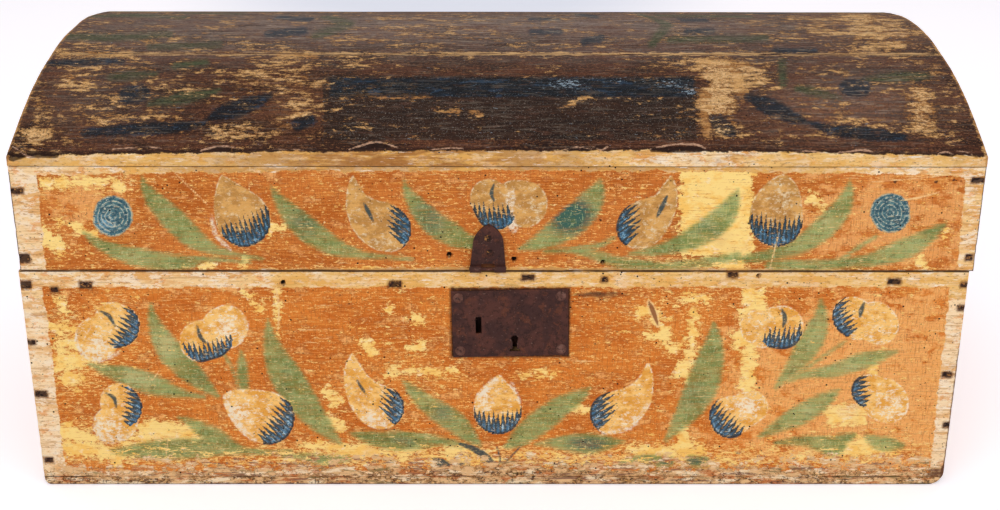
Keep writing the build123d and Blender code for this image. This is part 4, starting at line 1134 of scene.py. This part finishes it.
def weatherBoard(board, node, normal, nailNodes=(), holes=(), footCorners=None, top=None):
    # rub the edges, sink the nail heads and add the hollows of a hand-planed face
    low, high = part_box(node)
    places = vertexPlaces(board)
    side = 1 if abs(normal.y) > 0.5 else 0           # the axis that the face looks along
    along = 1 - side
    outness = places @ np.array(normal)
    face = outness > outness.max() - 0.2 * mm
    for end, radius in zip((low.x, high.x), footCorners or ()):
        into = np.abs(places[:, 0] - end)
        lift = np.clip(radius - places[:, 2], 0, radius)
        cut = radius - np.sqrt(np.maximum(radius**2 - lift**2, 0))
        near = into < boardWear["footReach"]
        places[near, 0] += (math.copysign(1, -end) * cut * (1 - into / boardWear["footReach"]))[near]
    highest = high.z if top is None else top(places[:, 1])
    gap = np.minimum.reduce([
        places[:, along] - low[along], high[along] - places[:, along], places[:, 2] - low.z, highest - places[:, 2],
    ])
    rub = np.clip(1 - gap / boardWear["arris"], 0, 1) ** 2
    chew = ripple(places, (9 * mm, 9 * mm, 4 * mm), 11.0)
    wave = ripple(places, (60 * mm, 60 * mm, 25 * mm), 4.0)
    sink = rub * (0.5 + 1.1 * np.clip(chew, 0, 1)) * mm + boardWear["waviness"] * (wave + 0.5)
    heads = nailField(places, nailNodes)
    filled = ripple(places, (2.3 * mm, 2.3 * mm, 1.6 * mm), 17.0) < boardWear["filled"]
    sink = np.where((heads < 0.15) & ~filled, boardWear["headPit"], sink)
    pit = np.full(len(places), 9.0)
    for x, z, radius in holes:
        pit = np.minimum(pit, np.hypot(places[:, 0] / mm - x, places[:, 2] / mm - z) - radius)
    sink = np.where(pit < 0.2, boardWear["holeDepth"], sink)
    places -= np.array(normal) * np.where(face, np.clip(sink, 0, None), 0)[:, None]
    setPlaces(board, places)
    storeField(board, "rust", heads)
    storeField(board, "pit", pit)
    return places, np.where(face, gap, offFace)      # so that a joint's dark line stays at the face


def decorate(board, places, spots, flowers, **more):
    for name, values in {**paintFields(spots, flowers), **more}.items():
        storeField(board, name, np.broadcast_to(values, len(places)))


def standFor(piece, node, body):
    # the piece takes a CAD node's place and moves with its body
    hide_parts(node)
    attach(piece, body)


# Front of the body, and soft blots (x, y, half length, half height, strength) of what has happened to it: damp at the
# foot, dirt and woodworm. Below 0 a blot takes away
bodyHistory = {
    "foot": [(850, 474, 100, 8, 0.1), (500, 474, 160, 12, 0.25), (105, 462, 70, 14, -0.3)],
    "dirt": [
        (510, 285, 26, 4, 0.6), (465, 284, 20, 4, 0.4), (525, 279, 18, 4, 0.6), (935, 474, 20, 12, 0.7),
        (52, 476, 14, 8, 0.5), (800, 468, 130, 5, 0.15), (490, 474, 130, 7, 0.4), (600, 295, 60, 8, 0.66),
        (750, 293, 120, 5, 0.36), (430, 293, 60, 5, 0.36),
    ],
    "worms": [(840, 305, 130, 26, 1.1), (520, 298, 320, 14, 0.5), (930, 400, 30, 70, 0.5), (90, 320, 50, 40, 0.4)],
    "railEnds": 300,          # pixels down to the foot of the pale rail
    "stainTop": 449,          # and to where the damp starts
}
lockLow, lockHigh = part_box("lock_plate")
mortise = (lockLow.x + 7 * mm, lockLow.z + 2.5 * mm, lockHigh.x - 7 * mm, lockHigh.z - 4 * mm)
bodyFront, outward = addPaintedBoard("painted_front", "front_board", boardWear["cell"], 0.0, mortise)
places, gap = weatherBoard(
    bodyFront, "front_board", outward, ["front_corner_nails", "rail_nails"], bodyHoles, (4 * mm, 8.5 * mm),
)
fromPlate = np.maximum(np.maximum(np.array(lockLow) - places, places - np.array(lockHigh)), 0)[:, [0, 2]]
plateRust = np.linalg.norm(fromPlate, axis=1) / mm + 0.15
spots = photoSpot(places)
across, down = spots.T
low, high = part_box("front_board")
footJoint = np.where(across < 92, (places[:, 2] - low.z) / mm, 9.0)
onRail = down < bodyHistory["railEnds"]
# painted shade: a dark strip along the body's right edge, below the rail
rightEdgeShade = np.clip(1.6 - (high.x - places[:, 0]) / mm, 0, 1) * np.clip((down - bodyHistory["railEnds"]) / 60, 0, 1)
decorate(
    bodyFront, places, spots, bodyFlowers,
    aged=np.where(onRail, 0.08, -0.8) - 0.45 * np.clip((285 - across) / 60, 0, 1) * onRail,
    foot=np.clip((down - bodyHistory["stainTop"]) / 24, 0, 1) * 0.78 + bumps(spots, bodyHistory["foot"]),
    dirt=bumps(spots, bodyHistory["dirt"]) + rightEdgeShade * 0.8,
    worms=0.25 + bumps(spots, bodyHistory["worms"]),
    joint=np.minimum((high.z - places[:, 2]) / mm, footJoint) + 12 * (gap > offFace - 0.1 * mm),
    rust=np.minimum(nailField(places, ["front_corner_nails", "rail_nails"]), plateRust),
)
finishFaces(bodyFront, outward, bodyPaint, insideWood, mortise)
standFor(bodyFront, "front_board", "chest")

# Front of the lid, whose top follows the bend of the dome
dome = {"rise": 36.2 * mm, "halfDepth": 156 * mm, "thickness": 5 * mm, "split": -57.0 * mm, "gap": 0.5 * mm}
dome["radius"] = (dome["halfDepth"] ** 2 + dome["rise"] ** 2) / (2 * dome["rise"])
dome["centre"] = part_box("dome_back_board")[1].z - dome["radius"]
dome["inner"] = dome["radius"] - dome["thickness"]


def archHeight(y):
    # the underside of the dome over a place between front and back
    return dome["centre"] + np.sqrt(dome["inner"] ** 2 - y**2)


def trimToDome(board, node):
    low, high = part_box(node)
    places = vertexPlaces(board)
    places[:, 2] = low.z + (places[:, 2] - low.z) * (archHeight(places[:, 1]) - low.z) / (high.z - low.z)
    setPlaces(board, places)


lidHistory = {
    # browned wood along the edges, paler below 0
    "aged": [(30, 170, 130, 900, -1.0), (930, 170, 110, 900, -0.8), (760, 170, 120, 900, -0.15)],
    "dirt": [
        (487, 262, 20, 11, 1.1), (450, 256, 10, 6, 0.5), (514, 259, 9, 6, 0.4), (602, 262, 9, 5, 0.3),
        (895, 182, 2.5, 2.2, 1.3), (936, 182, 2.5, 2.0, 1.3), (954, 180, 2.2, 2.2, 1.3), (961.5, 181, 1.8, 1.8, 1.2),
    ],
    "worms": [(600, 262, 200, 10, 0.5), (880, 190, 90, 20, 0.4)],
}
lidFront, outward = addPaintedBoard("painted_lid_front", "lid_front_board", boardWear["cell"])
trimToDome(lidFront, "lid_front_board")
places, gap = weatherBoard(lidFront, "lid_front_board", outward, ["lid_front_nails"], lidHoles, top=archHeight)
spots = photoSpot(places)
across = spots[:, 0]
decorate(
    lidFront, places, spots, lidFlowers,
    aged=0.45 + bumps(spots, lidHistory["aged"]), foot=0.0, dirt=bumps(spots, lidHistory["dirt"]),
    worms=0.2 + bumps(spots, lidHistory["worms"]),
    joint=gap / mm + np.where((across < 8) | (across > 992), 9, 0),
)
finishFaces(lidFront, outward, lidPaint, insideWood)
standFor(lidFront, "lid_front_board", "lid")
print("stage 3: painted fronts built")

# The ends of the body and of the lid
endMargin = 8.0           # millimetres of pale wood left under the dome
for node, turn, sway in (
    ("left_end_board", -math.pi / 2, 1), ("right_end_board", math.pi / 2, -1),
    ("lid_left_end", -math.pi / 2, 1), ("lid_right_end", math.pi / 2, -1),
):
    ofLid = node.startswith("lid_")
    board, outward = addPaintedBoard("painted_" + node, node, boardWear["endCell"], turn)
    if ofLid:
        trimToDome(board, node)
    places, gap = weatherBoard(board, node, outward, top=archHeight if ofLid else None)
    low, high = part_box(node)
    # pixels across from the middle of the end, and down from the top of the body
    level = low.z if ofLid else high.z
    spots = np.stack([sway * places[:, 1] / mm * endScale, (level - places[:, 2]) / mm * endScale], 1)
    decorate(
        board, places, spots, lidEndFlowers if ofLid else endFlowers,
        aged=0.25 - 0.5 * (not ofLid), foot=np.clip((spots[:, 1] - 212) / 14, 0, 1) * 0.7,
        dirt=0.0, worms=0.4, joint=gap / mm,
    )
    if ofLid:
        underDome = (archHeight(places[:, 1]) - places[:, 2]) / mm
        border = quadField(spots, lidEndFlowers["panel"])
        storeField(board, "panel", np.maximum(border, (endMargin - underDome) * endScale))
    finishFaces(board, outward, lidPaint if ofLid else bodyPaint, insideWood)
    standFor(board, node, "lid" if ofLid else "chest")
print("stage 4: painted ends built")


def addDomeBoard(name, node, fromY, toY, cell):
    # a fine bent outer face and a coarser inner one, joined round their rims
    low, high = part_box(node)
    sheets = []
    for radius, step, flip in ((dome["radius"], cell, False), (dome["inner"], cell * 4, True)):
        start, end = math.asin(fromY / radius), math.asin(toY / radius)
        sheet = addGrid(
            x_subdivisions=round((high.x - low.x) / step), y_subdivisions=round(radius * (end - start) / step),
        )
        places = vertexPlaces(sheet)
        angle = start + (places[:, 1] + 0.5) * (end - start)
        setPlaces(sheet, np.stack([
            low.x + (places[:, 0] + 0.5) * (high.x - low.x),
            radius * np.sin(angle),
            dome["centre"] + radius * np.cos(angle),
        ], 1))
        if flip:
            bpy.ops.object.mode_set(mode="EDIT")
            bpy.ops.mesh.select_all(action="SELECT")
            bpy.ops.mesh.flip_normals()
            bpy.ops.object.mode_set(mode="OBJECT")
        sheets.append(sheet)
    for sheet in sheets:
        sheet.select_set(True)
    bpy.context.view_layer.objects.active = sheets[0]
    bpy.ops.object.join()
    board = bpy.context.object
    board.name = name
    selectOpenRims()
    bpy.ops.mesh.bridge_edge_loops()
    turnFacesOut()
    return board


domeWear = {
    "frontCell": 1.05 * mm,
    "backCell": 1.45 * mm,
    "furrow": 0.16 * mm,
    "edge": 2.0 * mm,         # how far in from its edges a board is rubbed,
    "rubbedEdge": 0.3 * mm,   # how deep,
    "chewedEdge": 1.0 * mm,   # and how deep it is chewed in places
    "headPit": 0.5 * mm,
    "aged": [
        (400, 155, 150, 60, 0.35), (120, 155, 110, 60, -0.25), (690, 155, 80, 60, -0.9), (880, 155, 110, 60, -0.35),
    ],
}


def weatherDome(board, node):
    # furrows along the grain, chewed rims and sunk nail heads, then the paint and the finishes
    low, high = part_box(node)
    places = vertexPlaces(board)
    outer = np.hypot(places[:, 1], places[:, 2] - dome["centre"]) > dome["radius"] - 0.3 * mm
    furrows = ripple(places, (70 * mm, 3.5 * mm, 8 * mm), 2.0)
    furrows += 0.6 * ripple(places, (20 * mm, 2.5 * mm, 5 * mm), 8.0)
    chew = np.clip(ripple(places, (11 * mm, 40 * mm, 40 * mm), 5.0) + 0.1, 0, 1)
    gap = np.minimum.reduce([places[:, 1] - low.y, high.y - places[:, 1], places[:, 0] - low.x, high.x - places[:, 0]])
    rub = np.clip(1 - gap / domeWear["edge"], 0, 1) * (domeWear["rubbedEdge"] + chew * domeWear["chewedEdge"])
    sink = domeWear["furrow"] * np.clip(furrows + 0.5, 0, 2) + rub
    nails = np.full(len(places), 99.0)
    for name in ("dome_end_nails", "dome_edge_nails"):
        heads = np.array([v.co for v in nodes[name].data.vertices])
        heads = heads[np.hypot(heads[:, 1], heads[:, 2] - dome["centre"]) > dome["radius"] - 0.9 * mm]
        for spot in heads:
            nails = np.minimum(nails, np.linalg.norm(places - spot, axis=1) / mm)
    sink = np.where(nails < 1.3, np.maximum(sink, domeWear["headPit"]), sink)
    outwards = (places - (0, 0, dome["centre"])) * (0, 1, 1)
    outwards /= np.linalg.norm(outwards, axis=1)[:, None]
    places -= outwards * np.where(outer, sink, 0)[:, None]
    setPlaces(board, places)
    spots = photoSpot(np.stack([places[:, 0], -np.abs(places[:, 1]), places[:, 2]], 1))      # both slopes are alike
    decorate(
        board, places, spots, domeFlowers,
        band=boxField(spots, domeFlowers["band"]), plate=boxField(spots, domeFlowers["plate"]),
        aged=0.35 + bumps(spots, domeWear["aged"]), rust=nails,
        rim=np.minimum(places[:, 0] - low.x, high.x - places[:, 0]) / mm,
        joint=np.abs(places[:, 1] - dome["split"]) / mm,
    )
    for finish in (topPaint, insideWood):
        board.data.materials.append(finish)
    for polygon in board.data.polygons:
        away = polygon.center - Vector((polygon.center.x, 0, dome["centre"]))
        polygon.material_index = 1 if polygon.normal.dot(away) < -0.5 * away.length else 0
    standFor(board, node, "lid")


for name, node, fromY, toY, cell in (
    ("painted_dome_front", "dome_front_board", -dome["halfDepth"], dome["split"], domeWear["frontCell"]),
    ("painted_dome_back", "dome_back_board", dome["split"] + dome["gap"], dome["halfDepth"], domeWear["backCell"]),
):
    weatherDome(addDomeBoard(name, node, fromY, toY, cell), node)
print("stage 5: dome boards bent")

# The CAD nodes that keep their own shape, by the start or the end of their names
finishes = (
    ("lock_rivets", rivetIron), ("lock_", iron), ("hasp_nails", nail), ("hasp_", iron), ("hinge_", iron),
    ("bottom_board", underWood),
)
for name, node in nodes.items():
    finish = nail if name.endswith("_nails") else insideWood
    node.data.materials.clear()
    node.data.materials.append(next((f for start, f in finishes if name.startswith(start)), finish))

# Camera, lamps, floor and backdrop
bpy.ops.object.camera_add(location=camera["place"])
eye = bpy.context.object
eye.matrix_world = Matrix.Translation(camera["place"]) @ cameraTurn
eye.data.sensor_width = camera["sensorWidth"]
eye.data.lens = camera["focalPixels"] / camera["pictureWidth"] * camera["sensorWidth"]
bpy.context.scene.camera = eye

studio = {
    "lamps": [
        # name, place, aim, size, watts
        ("key", (-0.9, -1.9, 1.7), (0, 0, 0.12), 1.6, 21),
        ("fill", (1.3, -1.7, 1.1), (0, 0, 0.12), 1.6, 13),
        ("top", (0, 0.5, 2.3), (0, 0, 0.2), 1.8, 12),
    ],
    "world": 0.36,
    "backdrop": "#FFFFFF",
    "floor": "#FAF6FB",
    "floorGlow": 0.40,        # brings the paper to white for the camera and keeps the chest's shadow
    "farShadeTint": "#D7D9E4",
    "farPlace": (0.10, -2.75, 0.0),      # the painted shade lies 1.25 m behind the chest
}
for name, place, aim, size, watts in studio["lamps"]:
    bpy.ops.object.light_add(type="AREA", location=place)
    lamp = bpy.context.object
    lamp.name = name
    lamp.rotation_euler = (Vector(aim) - Vector(place)).to_track_quat("-Z", "Y").to_euler()
    lamp.data.size = size
    lamp.data.energy = watts


def shownTo(tree):
    # 1 for the rays that see the studio itself: straight, mirrored or through glass
    rays = addNode(tree, "rays").node.outputs
    straight = addNode(tree, "larger", rays["Is Camera Ray"], rays["Is Glossy Ray"])
    return addNode(tree, "larger", straight, rays["Is Transmission Ray"])


world = bpy.data.worlds.new("studio")
bpy.context.scene.world = world
world.use_nodes = True
sky = world.node_tree
seen = shownTo(sky)
background = sky.nodes["Background"].inputs
sky.links.new(addNode(sky, "over", (1.0, 1.0, 1.0, 1.0), studio["backdrop"], seen), background["Color"])
sky.links.new(addNode(sky, "ease", seen, 0.0, 1.0, studio["world"], 1.0), background["Strength"])

bpy.ops.mesh.primitive_plane_add(size=1, location=(0, 0, 0))
floor = bpy.context.object
floor.name = "floor"
floor.scale = (6, 6, 1)
bpy.ops.object.transform_apply(location=True, rotation=True, scale=True)
paper, lay, mottle = newFinish("white_paper")      # matt card, greyer and bluer far off with painted shade, as on the photographer's backdrop
farShade = lay("length", lay("stretch", lay("place"), studio["farPlace"], (1.6, 2.2, 1.0)))
tone = lay("over", studio["farShadeTint"], studio["floor"], lay("ease", farShade, 0.25, 0.75))
coated(paper, tone, 0.9)
shader = paper.node_tree.nodes["Principled BSDF"]
glow = lay("times", shownTo(paper.node_tree), studio["floorGlow"])
paper.node_tree.links.new(tone, shader.inputs["Emission Color"])
paper.node_tree.links.new(glow, shader.inputs["Emission Strength"])
floor.data.materials.append(paper)
floor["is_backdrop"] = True

scene = bpy.context.scene
scene.view_settings.view_transform = "Standard"
print("stage 6: camera and studio set")

low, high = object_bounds()
